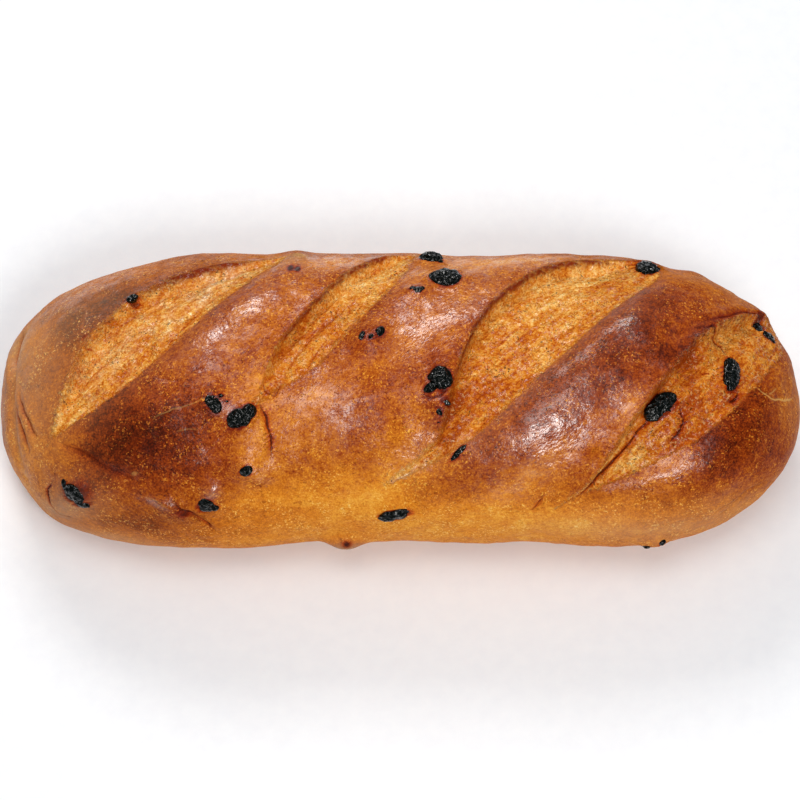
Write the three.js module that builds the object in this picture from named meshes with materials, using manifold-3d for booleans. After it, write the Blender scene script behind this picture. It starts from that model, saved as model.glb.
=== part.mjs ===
// A raisin bread: a long free-form loaf with four slanting slashes across its top, and raisins that show
// through the crust. Sizes are in millimetres and angles in degrees. +X runs along the loaf, +Y towards its
// back and +Z up. The origin is the middle of the flat base that the loaf was baked on.
import * as THREE from "three";
import { mergeVertices } from "three/addons/utils/BufferGeometryUtils.js";
import Module from "manifold-3d";

const wasm = await Module();
wasm.setup();

// The body of the loaf
const LENGTH = 280;
const WIDTH = 102.5;
const TOP_LEVEL = 71; // the crest of the body above the base
const WIDEST_LEVEL = 31; // where the sides reach out furthest, in the middle of the loaf
const WIDEST_LEVEL_LEFT = 22; // the same at the left tip
const WIDEST_LEVEL_RIGHT = 26; // and at the right tip
const BELLY_DEPTH = 34; // how far the section would reach below its widest level; the base presses it flat
const TAPER_POWER_LEFT = 5; // how long the loaf keeps its full width before an end
const TAPER_POWER_RIGHT = 5.2;
const TAPER_ROUNDNESS_LEFT = 2.35; // how blunt an end is
const TAPER_ROUNDNESS_RIGHT = 1.85;
const TIP_SHIFT_RIGHT = -3.2; // how far the right tip has turned towards the front
const SECTION_POWER_TOP = 2.15; // a superellipse, nearly an ellipse above the widest level
const SECTION_POWER_BELLY = 2.6; // and squarer below it
const GIRTH_RADIUS = 46; // turns an angle round the section into a distance over the crust

// A place on the crust is [along, around]: along is the distance from the middle of the loaf over its side,
// which runs on round the blunt ends, and around is the distance over the crust from the crest line, positive
// towards the back.

// The slashes. Each opens to both sides of the straight cut from near to far: a side has its widest opening,
// and the shares of the cut where it starts, is full and begins to shut.
const SLASHES = [
  {
    near: [-120.2, -26],
    far: [-34.5, 41.6],
    left: { width: 16.6, start: 0.02, full: 0.39, shut: 0.43 },
    right: { width: 5.9, start: 0.02, full: 0.39, shut: 0.2 },
    depth: 4.8,
  },
  {
    near: [-49.6, -19.7],
    far: [8.2, 49.4],
    left: { width: 5.6, start: 0.06, full: 0.29, shut: 0.65 },
    right: { width: 9.3, start: 0.01, full: 0.39, shut: 0.63 },
    depth: 4.4,
  },
  {
    near: [-5.6, -46.1],
    far: [92.2, 41.3],
    left: { width: 20.4, start: 0.2, full: 0.57, shut: 0.67 },
    right: { width: 8.2, start: 0, full: 0.34, shut: 0.88 },
    depth: 5,
  },
  {
    near: [53.2, -54.3],
    far: [140.8, 30.9],
    left: { width: 8.7, start: 0.11, full: 0.65, shut: 0.58 },
    right: { width: 14.7, start: 0.05, full: 0.58, shut: 0.88 },
    depth: 5.4,
  },
];
const CLIFF_RUN = 2.2; // the steep side under the ear
const SHOULDER_RUN = 5.5; // the soft side opposite
const FLOOR_RISE = 0.6; // the share of the depth that the floor has risen by where it meets the shoulder
const FLOOR_BULGE = 1.1; // how far a full opening's floor bulges between its sides
const FULL_DEPTH_OPENING = 12; // a slash narrower than this is shallower in proportion
const END_FADE = 0.16; // the share of a slash's length over which its ends run out shallow
const EAR_HEIGHT = 1.6; // the lip that curls up along the steep side
const EAR_REACH = 6;

// The crust domes up between the slashes and low on the front: middle, half length and half width, height, and
// how far the length leans from the loaf's
const PILLOWS = [
  { at: [-53, 10], half: [28, 11], height: 2.2, lean: 45 },
  { at: [-77, -30], half: [26, 20], height: 2.2, lean: 45 },
  { at: [16, 12], half: [34, 14], height: 2, lean: 45 },
  { at: [-12, -24], half: [24, 15], height: 1.6, lean: 45 },
  { at: [54, -18], half: [36, 12], height: 4, lean: 45 },
  { at: [86, 12], half: [26, 11], height: 2.8, lean: 45 },
  { at: [110, -36], half: [30, 14], height: 3.2, lean: 45 },
  { at: [-112, 16], half: [22, 10], height: 1.6, lean: 45 },
  { at: [-88, -80], half: [42, 28], height: 2.4, lean: 0 },
  { at: [92, -80], half: [34, 28], height: 1.4, lean: 0 },
];

// The fold where the dough was tucked in at the left end
const TUCK = { along: -141, angle: -10, bend: 8, width: 3.4, depth: 2, spread: 62 };

// The raisins that show: along, angle round the section from the crest (positive to the back), length, width,
// turn on the crust, how far the raisin stands out of it, and how far the crust swells around it
const RAISINS = [
  { along: -89.8, angle: 24.7, length: 8.5, width: 6.5, turn: 30, proud: 0.9, swell: 0.6 },
  { along: -61.5, angle: -23.2, length: 9, width: 7, turn: 70, proud: 1.5, swell: 1.4 },
  { along: -52, angle: -27.6, length: 10.5, width: 9, turn: 25, proud: 2, swell: 1.4 },
  { along: -50.4, angle: -48.4, length: 8, width: 7, turn: 80, proud: 0.9, swell: 2.2 },
  { along: -63.7, angle: -64.8, length: 9, width: 6.5, turn: -30, proud: 1.4, swell: 1.2 },
  { along: -108.6, angle: -63.9, length: 12, width: 8.5, turn: -38, proud: 1.3, swell: 1.6 },
  { along: -8.7, angle: 3.1, length: 11, width: 7.5, turn: 12, proud: 0.8, swell: 1.8 },
  { along: 6.8, angle: 24.7, length: 7.5, width: 6, turn: -15, proud: 0.9, swell: 1.4 },
  { along: 11.4, angle: 47.9, length: 11, width: 8, turn: -12, proud: 2.1, swell: 1.2 },
  { along: 16.4, angle: 33.2, length: 12, width: 8.5, turn: -10, proud: 2.2, swell: 1 },
  { along: 13.7, angle: -15.1, length: 10.5, width: 8.5, turn: 20, proud: 2.1, swell: 1 },
  { along: 15, angle: -26.4, length: 9.5, width: 6.5, turn: 65, proud: 0.8, swell: 1.2 },
  { along: 20.7, angle: -40.6, length: 9, width: 5.5, turn: 42, proud: 0.9, swell: 0.6 },
  { along: -1.7, angle: -71.8, length: 12.5, width: 7.5, turn: 16, proud: 1.5, swell: 0.8 },
  { along: 87, angle: 54, length: 10.5, width: 8.5, turn: 5, proud: 1.9, swell: 1 },
  { along: 132.9, angle: 42.8, length: 11, width: 7.5, turn: -45, proud: 1.2, swell: 1.2 },
  { along: 115.1, angle: -4.6, length: 13.5, width: 7, turn: 84, proud: 2.1, swell: 0.8 },
  { along: 89.1, angle: -22.5, length: 15, width: 9, turn: 36, proud: 2.2, swell: 1 },
  { along: 88.5, angle: -97.4, length: 10, width: 7.5, turn: 10, proud: 1.5, swell: 1.6 },
  { along: -105, angle: 86, length: 10, width: 7.5, turn: 25, proud: 1.8, swell: 1 },
  { along: -68, angle: 101, length: 11.5, width: 8, turn: -35, proud: 1.7, swell: 1.2 },
  { along: -22, angle: 84, length: 9.5, width: 7.5, turn: 60, proud: 1.5, swell: 1.4 },
  { along: 30, angle: 99, length: 12, width: 8, turn: 15, proud: 2, swell: 1 },
  { along: 66, angle: 84, length: 9, width: 7, turn: -50, proud: 1.3, swell: 1.6 },
  { along: 105, angle: 98, length: 10.5, width: 8, turn: 40, proud: 1.8, swell: 1 },
];
const RAISIN_THICKNESS = 0.78; // of its width
const RAISIN_WRINKLE = 0.09; // depth of the lengthwise wrinkles, as a share of the radius
const RAISIN_SIDES = 8;
const RAISIN_BANDS = 5;
const SOCKET_GAP = 0.35;
const SWELL_REACH = 1; // of the raisin's half length and half width, added all round

// Raisins that lie just under the crust and only lift it: along, angle, length, width, height
const HIDDEN_BUMPS = [
  { along: -37, angle: 60, length: 12, width: 9, turn: 0, height: 1.2 },
  { along: -75, angle: -67, length: 12, width: 7, turn: -25, height: 1.8 },
  { along: -18, angle: -104, length: 13, width: 10, turn: 0, height: 2.6 },
  { along: 83, angle: 8, length: 12, width: 7, turn: -40, height: 1 },
  { along: 104, angle: 62, length: 10, width: 7, turn: 0, height: 1.6 },
  { along: 129, angle: 58, length: 10, width: 8, turn: 0, height: 1.4 },
  { along: -132, angle: 20, length: 13, width: 8, turn: 60, height: 1.4 },
];

// Slow unevenness of the whole loaf: height, wave numbers along x, y and z, phase
const WAVES = [
  [0.55, 0.045, 0.05, 0.03, 0.4],
  [0.4, 0.09, -0.07, 0.06, 2.1],
  [0.25, -0.16, 0.13, 0.1, 4.4],
];

// The rings of the mesh: some follow each slash, and the rest lie evenly between them
const RINGS_LEFT = 19;
const RINGS_BETWEEN = 8;
const RINGS_RIGHT = 17;
const RING_GAP = 1.6; // the least distance between two rings at a slash
const TOP_COLUMNS = 42;
const BELLY_COLUMNS = 8;
const TOP_SPAN = 115; // degrees to each side of the crest that get the finer columns
const LEAN_SPAN = 75; // degrees to each side of the crest over which the rings lean with the slashes
const LEAN = 0.9; // how far along the loaf a ring moves for each millimetre round it, past a slash's end
const LEAN_FADE = 2.4; // how that lean fades towards the ends

const CRUST_COLOUR = 0xa35a24;
const RAISIN_COLOUR = 0x1d1816;

const radians = THREE.MathUtils.degToRad;
const { clamp, smoothstep } = THREE.MathUtils;

// How wide the loaf is at x, as a share of its full width: 1 over most of its length and 0 at the tips.
function taper(x) {
  const share = Math.min(1, Math.abs(x) / (LENGTH / 2));
  if (x < 0) return (1 - share ** TAPER_POWER_LEFT) ** (1 / TAPER_ROUNDNESS_LEFT);
  return (1 - share ** TAPER_POWER_RIGHT) ** (1 / TAPER_ROUNDNESS_RIGHT);
}

function widestLevel(x) {
  const share = Math.min(1, Math.abs(x) / (LENGTH / 2));
  const tip = x < 0 ? WIDEST_LEVEL_LEFT : WIDEST_LEVEL_RIGHT;
  return WIDEST_LEVEL + (tip - WIDEST_LEVEL) * share ** 3;
}

// A point of the smooth body, with no slash or swelling, before the base presses it flat.
function bodyPoint(x, angle) {
  const narrow = taper(x);
  const level = widestLevel(x);
  const sine = Math.sin(angle);
  const cosine = Math.cos(angle);
  const power = cosine > 0 ? SECTION_POWER_TOP : SECTION_POWER_BELLY;
  const reach = (Math.abs(sine) ** power + Math.abs(cosine) ** power) ** (-1 / power);
  const half = cosine > 0 ? TOP_LEVEL - WIDEST_LEVEL : BELLY_DEPTH;
  const shift = TIP_SHIFT_RIGHT * clamp(x / (LENGTH / 2), 0, 1) ** 3;
  return new THREE.Vector3(
    x,
    (WIDTH / 2) * narrow * reach * sine + shift,
    level + half * narrow * reach * cosine,
  );
}

function bodyNormal(x, angle) {
  const step = 0.01;
  const inward = Math.sign(-x || 1) * Math.min(1, LENGTH / 2 - Math.abs(x) + step);
  const along = bodyPoint(x + inward, angle).sub(bodyPoint(x, angle)).multiplyScalar(Math.sign(inward));
  const round = bodyPoint(x, angle + step).sub(bodyPoint(x, angle - step));
  return along.cross(round).normalize();
}

// x at the distances over the loaf's side, as the body is seen from above.
function sideProfile(samples = 4000) {
  const xs = Array.from({ length: samples + 1 }, (_, i) => (-LENGTH / 2) * Math.cos((Math.PI * i) / samples));
  const run = [0];
  for (let i = 1; i <= samples; i++)
    run.push(run[i - 1] + Math.hypot(xs[i] - xs[i - 1], (WIDTH / 2) * (taper(xs[i]) - taper(xs[i - 1]))));
  return { xs, run };
}

const PROFILE = sideProfile();
const SIDE = PROFILE.run[PROFILE.run.length - 1] / 2;

function xAt(along) {
  const { xs, run } = PROFILE;
  let low = 0;
  let high = run.length - 1;
  while (high - low > 1) {
    const middle = (low + high) >> 1;
    if (run[middle] > along + SIDE) high = middle;
    else low = middle;
  }
  return THREE.MathUtils.mapLinear(along + SIDE, run[low], run[high], xs[low], xs[high]);
}

function around(x, angle) {
  return GIRTH_RADIUS * taper(x) * angle;
}

// How far a slash has opened to one side, at a share of its length.
function opening(share, { width, start, full, shut }) {
  const quarter = Math.PI / 2;
  const rise = Math.sin(quarter * clamp((share - start) / (full - start), 0, 1));
  const fall = Math.sin(quarter * clamp((1 - share) / (1 - shut), 0, 1));
  return width * rise * fall;
}

// The height that a slash adds to the crust at a place: below 0 in its floor, above 0 on its ear.
function slashHeight(slash, place) {
  const cut = new THREE.Vector2(...slash.far).sub(new THREE.Vector2(...slash.near));
  const length = cut.length();
  cut.divideScalar(length);
  const from = place.clone().sub(new THREE.Vector2(...slash.near));
  const share = from.dot(cut) / length;
  if (share <= 0 || share >= 1) return 0;
  const across = from.x * cut.y - from.y * cut.x; // positive to the right of the cut
  const left = opening(share, slash.left);
  const right = opening(share, slash.right);
  const width = left + right;
  const full = Math.min(1, width / FULL_DEPTH_OPENING) * clamp(Math.min(share, 1 - share) / END_FADE, 0, 1);
  const inside = across + left;
  const ahead = right - across;
  if (inside <= 0) return EAR_HEIGHT * full * Math.exp(inside / EAR_REACH);
  const cliff = smoothstep(inside, 0, CLIFF_RUN);
  const shoulder = smoothstep(ahead, -SHOULDER_RUN, SHOULDER_RUN / 2);
  const passed = clamp(inside / Math.max(width, 1), 0, 1);
  const floor = FLOOR_BULGE * Math.sin(Math.PI * passed) - slash.depth * (1 - FLOOR_RISE * passed);
  return full * (EAR_HEIGHT * (1 - cliff) + floor * cliff * shoulder);
}

// A smooth dome, 1 in its middle and 0 well outside, over an oval that is turned on the crust.
function dome(place, [x, y], [halfLength, halfWidth], turn) {
  const from = place.clone().sub(new THREE.Vector2(x, y)).rotateAround(new THREE.Vector2(), -radians(turn));
  return Math.exp(-((from.x / halfLength) ** 2) - (from.y / halfWidth) ** 2);
}

function lump({ along, angle, length, width, turn }, place) {
  const at = [along, around(xAt(along), radians(angle))];
  return dome(place, at, [length / 2 + SWELL_REACH, width / 2 + SWELL_REACH], turn);
}

function tuckHeight(along, angle) {
  const turn = (angle - radians(TUCK.angle)) / radians(TUCK.spread);
  const off = (along - TUCK.along - TUCK.bend * turn ** 2) / TUCK.width;
  return -TUCK.depth * Math.exp(-(off ** 2) - turn ** 4);
}

function relief(along, angle) {
  const x = xAt(along);
  const place = new THREE.Vector2(along, around(x, angle));
  const point = bodyPoint(x, angle);
  let height = tuckHeight(along, angle);
  for (const slash of SLASHES) height += slashHeight(slash, place);
  for (const { at, half, height: rise, lean } of PILLOWS) height += rise * dome(place, at, half, lean);
  for (const raisin of RAISINS) height += raisin.swell * lump(raisin, place);
  for (const bump of HIDDEN_BUMPS) height += bump.height * lump(bump, place);
  for (const [rise, alongX, alongY, alongZ, phase] of WAVES)
    height += rise * Math.sin(alongX * point.x + alongY * point.y + alongZ * point.z + phase);
  return height;
}

// A point of the crust.
function crustPoint(along, angle) {
  const x = xAt(along);
  const fade = Math.min(1, taper(x) * 3); // the relief fades where the rings close at a tip
  const point = bodyPoint(x, angle).addScaledVector(bodyNormal(x, angle), relief(along, angle) * fade);
  point.z = Math.max(0, point.z);
  return point;
}

// The angles of a ring's corners: close together over the top and sides, further apart underneath.
function columnAngles() {
  const angles = [];
  for (let i = 0; i < TOP_COLUMNS; i++) angles.push(-TOP_SPAN + (2 * TOP_SPAN * i) / TOP_COLUMNS);
  for (let i = 0; i < BELLY_COLUMNS; i++) {
    const angle = TOP_SPAN + ((360 - 2 * TOP_SPAN) * i) / BELLY_COLUMNS;
    angles.push(angle > 180 ? angle - 360 : angle);
  }
  return angles.map(radians);
}

// Across a slash, from the crust on its left to the crust on its right, the distances from the cut at which
// rings follow it: the ear, the steep side, the floor and the shoulder.
function ringOffsets({ left, right }, share) {
  const [start, end] = [-opening(share, left), opening(share, right)];
  const offsets = [start - EAR_REACH, start - RING_GAP, start, start + CLIFF_RUN, (start + end) / 2];
  offsets.push(end - SHOULDER_RUN / 2, end + SHOULDER_RUN / 4, end + SHOULDER_RUN);
  for (let i = 4; i < offsets.length; i++) offsets[i] = Math.max(offsets[i], offsets[i - 1] + RING_GAP);
  return offsets;
}

// The rings that follow a slash, each a list of [angle, along] from its near end to its far end.
function slashRings(slash, samples = 48) {
  const near = new THREE.Vector2(...slash.near);
  const cut = new THREE.Vector2(...slash.far).sub(near);
  const aside = new THREE.Vector2(cut.y, -cut.x).normalize();
  const rings = ringOffsets(slash, 0).map(() => []);
  for (let i = 0; i <= samples; i++) {
    const middle = near.clone().addScaledVector(cut, i / samples);
    ringOffsets(slash, i / samples).forEach((offset, ring) => {
      const place = middle.clone().addScaledVector(aside, offset);
      rings[ring].push([place.y / around(xAt(place.x), 1), place.x]);
    });
  }
  return rings;
}

function leaned(along, turn) {
  return along + LEAN * GIRTH_RADIUS * turn * (1 - Math.abs(along / SIDE) ** LEAN_FADE);
}

// Where a ring that follows a slash crosses an angle: past the slash's ends it leans on the same way.
function ringAlong(ring, angle) {
  const [first, last] = [ring[0], ring[ring.length - 1]];
  if (angle <= first[0]) return leaned(first[1], angle - first[0]);
  if (angle >= last[0]) return leaned(last[1], angle - last[0]);
  const next = ring.findIndex(([at]) => at > angle);
  const [a, b] = [ring[next - 1], ring[next]];
  return THREE.MathUtils.mapLinear(angle, a[0], b[0], a[1], b[1]);
}

// The rings that follow a slash, at one angle; underneath the loaf they run back to close.
function slashAlongs(rings, angle) {
  const most = radians(LEAN_SPAN);
  if (Math.abs(angle) <= most) return rings.map((ring) => ringAlong(ring, angle));
  const share = (Math.abs(angle) - most) / (Math.PI - most);
  return rings.map((ring) => {
    const here = ringAlong(ring, Math.sign(angle) * most);
    const opposite = ringAlong(ring, -Math.sign(angle) * most);
    return THREE.MathUtils.lerp(here, (here + opposite) / 2, share);
  });
}

function addEven(list, from, to, count) {
  for (let i = 1; i <= count; i++) list.push(from + ((to - from) * i) / (count + 1));
}

// Every ring's place along the loaf, at one angle.
function ringPlaces(followers, angle) {
  const places = [];
  let last = -SIDE;
  followers.forEach((rings, index) => {
    const group = slashAlongs(rings, angle);
    addEven(places, last, group[0], index ? RINGS_BETWEEN : RINGS_LEFT);
    places.push(...group);
    last = group[group.length - 1];
  });
  addEven(places, last, SIDE, RINGS_RIGHT);
  return places;
}

function loafGeometry() {
  const followers = SLASHES.map((slash) => slashRings(slash));
  const columns = columnAngles().map((angle) =>
    ringPlaces(followers, angle).map((along) => crustPoint(along, angle)),
  );
  const rings = columns[0].length;
  const points = [bodyPoint(-LENGTH / 2, 0), ...columns.flat(), bodyPoint(LENGTH / 2, 0)];
  const last = points.length - 1;
  const corner = (ring, column) => 1 + (column % columns.length) * rings + ring;
  const faces = [];
  for (let column = 0; column < columns.length; column++) {
    faces.push(0, corner(0, column), corner(0, column + 1));
    faces.push(last, corner(rings - 1, column + 1), corner(rings - 1, column));
    for (let ring = 0; ring < rings - 1; ring++) {
      const [a, b] = [corner(ring, column), corner(ring, column + 1)];
      const [c, d] = [corner(ring + 1, column), corner(ring + 1, column + 1)];
      if (points[a].distanceTo(points[d]) < points[b].distanceTo(points[c])) faces.push(a, c, d, a, d, b);
      else faces.push(a, c, b, b, c, d);
    }
  }
  const geometry = new THREE.BufferGeometry().setFromPoints(points);
  geometry.setIndex(faces);
  return geometry;
}

// A raisin round its own middle, its length along X and its flat side down, grown by a margin all round.
function raisinGeometry({ length, width, along }, margin = 0) {
  const geometry = new THREE.SphereGeometry(1, RAISIN_SIDES, RAISIN_BANDS).rotateZ(Math.PI / 2);
  geometry.deleteAttribute("normal");
  geometry.deleteAttribute("uv");
  const merged = mergeVertices(geometry, 1e-4);
  const position = merged.getAttribute("position");
  for (let i = 0; i < position.count; i++) {
    const point = new THREE.Vector3().fromBufferAttribute(position, i);
    const turn = Math.atan2(point.z, point.y);
    const ring = Math.hypot(point.y, point.z);
    const wrinkle = 1 + RAISIN_WRINKLE * ring * Math.cos(3 * turn + along);
    position.setXYZ(
      i,
      point.x * (length / 2 + margin),
      point.y * wrinkle * (width / 2 + margin),
      point.z * wrinkle * ((width * RAISIN_THICKNESS) / 2 + margin),
    );
  }
  return merged;
}

// Where a raisin lies: on the crust, turned about its normal, and sunk until only its proud part shows.
function raisinMatrix({ along, angle, width, turn, proud }) {
  const normal = bodyNormal(xAt(along), radians(angle));
  const lengthwise = new THREE.Vector3(1, 0, 0).addScaledVector(normal, -normal.x).normalize();
  const spun = lengthwise.applyAxisAngle(normal, radians(turn));
  const side = normal.clone().cross(spun);
  const centre = crustPoint(along, radians(angle));
  centre.addScaledVector(normal, proud - (width * RAISIN_THICKNESS) / 2);
  return new THREE.Matrix4().makeBasis(spun, side, normal).setPosition(centre);
}

function solidOf(geometry) {
  return new wasm.Manifold(
    new wasm.Mesh({
      numProp: 3,
      vertProperties: Float32Array.from(geometry.getAttribute("position").array),
      triVerts: Uint32Array.from(geometry.index.array),
    }),
  );
}

function geometryOf(solid) {
  const { numProp, numVert, vertProperties, triVerts } = solid.getMesh();
  const positions = new Float32Array(numVert * 3);
  for (let i = 0; i < numVert; i++)
    positions.set(vertProperties.subarray(i * numProp, i * numProp + 3), i * 3);
  const geometry = new THREE.BufferGeometry();
  geometry.setAttribute("position", new THREE.BufferAttribute(positions, 3));
  geometry.setIndex(new THREE.BufferAttribute(Uint32Array.from(triVerts), 1));
  geometry.computeVertexNormals();
  return geometry;
}

const crust = new THREE.MeshStandardMaterial({ color: CRUST_COLOUR, roughness: 0.45, metalness: 0 });
const raisinSkin = new THREE.MeshStandardMaterial({ color: RAISIN_COLOUR, roughness: 0.35, metalness: 0 });

// The loaf, with a socket for each raisin
function loafMesh() {
  let loaf = solidOf(loafGeometry());
  for (const raisin of RAISINS) {
    const socket = raisinGeometry(raisin, SOCKET_GAP).applyMatrix4(raisinMatrix(raisin));
    loaf = loaf.subtract(solidOf(socket));
  }
  const mesh = new THREE.Mesh(geometryOf(loaf), crust);
  mesh.name = "loaf";
  return mesh;
}

function raisinMesh(raisin, index) {
  const mesh = new THREE.Mesh(raisinGeometry(raisin), raisinSkin);
  mesh.applyMatrix4(raisinMatrix(raisin));
  mesh.name = `raisin_${String(index + 1).padStart(2, "0")}`;
  return mesh;
}

const bread = new THREE.Group();
bread.name = "raisin_bread";
bread.add(loafMesh(), ...RAISINS.map(raisinMesh));

export default bread;
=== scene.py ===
# The dressed raisin bread. Sizes are in millimetres and angles in degrees, and become metres and radians
# where a mesh is made. A place on the crust is (along, around): along is the distance from the middle of
# the loaf over its side, and around is the distance over the crust from the crest, positive to the back.
import math

import bpy
import numpy as np
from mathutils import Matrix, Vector


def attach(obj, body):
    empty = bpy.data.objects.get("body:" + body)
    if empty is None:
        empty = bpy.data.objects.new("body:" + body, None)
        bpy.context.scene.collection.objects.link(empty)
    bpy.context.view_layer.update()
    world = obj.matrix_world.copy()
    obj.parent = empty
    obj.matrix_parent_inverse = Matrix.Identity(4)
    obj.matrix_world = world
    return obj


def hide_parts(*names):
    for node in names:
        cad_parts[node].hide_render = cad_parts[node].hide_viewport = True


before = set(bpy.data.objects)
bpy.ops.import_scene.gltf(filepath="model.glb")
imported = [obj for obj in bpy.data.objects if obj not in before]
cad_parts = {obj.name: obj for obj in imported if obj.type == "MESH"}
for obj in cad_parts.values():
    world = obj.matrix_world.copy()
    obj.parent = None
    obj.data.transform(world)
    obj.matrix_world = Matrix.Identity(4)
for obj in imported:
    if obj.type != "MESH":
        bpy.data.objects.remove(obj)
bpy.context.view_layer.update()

MM = 0.001

# Camera: it looks along +Y and down on the loaf
CAMERA_ELEVATION = 65
CAMERA_DISTANCE = 1000
CAMERA_AIM = (0, 0, 28)
CAMERA_LENS = 128.4

# The body, as in the CAD
LENGTH = 280
WIDTH = 102.5
TOP_LEVEL = 71
WIDEST_LEVEL = 31
WIDEST_LEVEL_LEFT = 22
WIDEST_LEVEL_RIGHT = 26
BELLY_DEPTH = 34
TAPER_POWER_LEFT = 5.0
TAPER_POWER_RIGHT = 5.2
TAPER_ROUNDNESS_LEFT = 2.35
TAPER_ROUNDNESS_RIGHT = 1.85
TIP_SHIFT_RIGHT = -3.2
SECTION_POWER_TOP = 2.15
SECTION_POWER_BELLY = 2.6
GIRTH_RADIUS = 46

# The slashes: each opens to both sides of the straight cut from near to far. A side is its widest opening,
# and the shares of the cut where it starts, is full and begins to shut.
SLASHES = [
    dict(near=(-120.2, -26), far=(-34.5, 41.6), left=(16.6, 0.02, 0.39, 0.43), right=(5.9, 0.02, 0.39, 0.2), depth=4.8),
    dict(near=(-49.6, -19.7), far=(8.2, 49.4), left=(5.6, 0.06, 0.29, 0.65), right=(9.3, 0.01, 0.39, 0.63), depth=4.4),
    dict(near=(-5.6, -46.1), far=(92.2, 41.3), left=(20.4, 0.2, 0.57, 0.67), right=(8.2, 0, 0.34, 0.88), depth=5),
    dict(near=(53.2, -54.3), far=(140.8, 30.9), left=(8.7, 0.11, 0.65, 0.58), right=(14.7, 0.05, 0.58, 0.88), depth=5.4),
]
# How far each slash's edge is blurred: left side near and far, right side near and far
EDGE_BLUR = [(3.2, 0.8, 1.0, 1.6), (1.4, 0.7, 2.4, 2.4), (3.0, 0.7, 1.6, 1.4), (2.2, 2.6, 1.4, 1.2)]
# The share of each slash at which the painted shadow line under its ear begins, and its strength
EDGE_GREY = [0.1, 0, 0.15, 0]  # how greyish the crust is beside each slash's right edge
EAR_SHADOW_LINE = [(0.5, 0.8), (0.2, 0.7), (0.3, 0.75), (0.9, 0.3)]
CLIFF_RUN = 2.2
SHOULDER_RUN = 5.5
FLOOR_RISE = 0.6
FLOOR_BULGE = 1.1
FULL_DEPTH_OPENING = 12
END_FADE = 0.16
EAR_HEIGHT = 1.6
EAR_REACH = 6

# Where the crust domes up, between the slashes and low on the front: middle, half sizes, height, lean
PILLOWS = [
    ((-53, 10), (28, 11), 2.2, 45),
    ((-77, -30), (26, 20), 2.2, 45),
    ((16, 12), (34, 14), 2.0, 45),
    ((-12, -24), (24, 15), 1.6, 45),
    ((54, -18), (36, 12), 4.0, 45),
    ((86, 12), (26, 11), 2.8, 45),
    ((110, -36), (30, 14), 3.2, 45),
    ((-112, 16), (22, 10), 1.6, 45),
    ((-88, -80), (42, 28), 2.4, 0),
    ((92, -80), (34, 28), 1.4, 0),
]

TUCK = dict(along=-141, angle=-10, bend=8, width=3.4, depth=2, spread=62)

# The raisins that show: along, angle, length, width, turn, proud, swell
RAISINS = [
    (-89.8, 24.7, 8.5, 6.5, 30, 0.9, 0.6),
    (-61.5, -23.2, 9, 7, 70, 1.5, 1.4),
    (-52, -27.6, 10.5, 9, 25, 2, 1.4),
    (-50.4, -48.4, 8, 7, 80, 0.9, 2.2),
    (-63.7, -64.8, 9, 6.5, -30, 1.4, 1.2),
    (-108.6, -63.9, 12, 8.5, -38, 1.3, 1.6),
    (-8.7, 3.1, 11, 7.5, 12, 0.8, 1.8),
    (6.8, 24.7, 7.5, 6, -15, 0.9, 1.4),
    (11.4, 47.9, 11, 8, -12, 2.1, 1.2),
    (16.4, 33.2, 12, 8.5, -10, 2.2, 1),
    (13.7, -15.1, 10.5, 8.5, 20, 2.1, 1),
    (15, -26.4, 9.5, 6.5, 65, 0.8, 1.2),
    (20.7, -40.6, 9, 5.5, 42, 0.9, 0.6),
    (-1.7, -71.8, 12.5, 7.5, 16, 1.5, 0.8),
    (87, 54, 10.5, 8.5, 5, 1.9, 1),
    (132.9, 42.8, 11, 7.5, -45, 1.2, 1.2),
    (115.1, -4.6, 13.5, 7, 84, 2.1, 0.8),
    (89.1, -22.5, 15, 9, 36, 2.2, 1),
    (88.5, -97.4, 10, 7.5, 10, 1.5, 1.6),
    (-105, 86, 10, 7.5, 25, 1.8, 1),
    (-68, 101, 11.5, 8, -35, 1.7, 1.2),
    (-22, 84, 9.5, 7.5, 60, 1.5, 1.4),
    (30, 99, 12, 8, 15, 2, 1),
    (66, 84, 9, 7, -50, 1.3, 1.6),
    (105, 98, 10.5, 8, 40, 1.8, 1),
]
RAISIN_THICKNESS = 0.78
RIM_HEIGHT = 0.35
# How dark the painted shade is in the crevice round each raisin
RIM_SHADE = 0.75
SWELL_REACH = 1.0

# Raisins just under the crust: along, angle, length, width, turn, height
HIDDEN_BUMPS = [
    (-37, 60, 12, 9, 0, 1.2),
    (-75, -67, 12, 7, -25, 1.8),
    (-18, -104, 13, 10, 0, 2.6),
    (83, 8, 12, 7, -40, 1.0),
    (104, 62, 10, 7, 0, 1.6),
    (129, 58, 10, 8, 0, 1.4),
    (-132, 20, 13, 8, 60, 1.4),
]

# Slow unevenness: height, wave numbers, phase
WAVES = [
    (0.55, (0.045, 0.05, 0.03), 0.4),
    (0.4, (0.09, -0.07, 0.06), 2.1),
    (0.25, (-0.16, 0.13, 0.1), 4.4),
]

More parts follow.
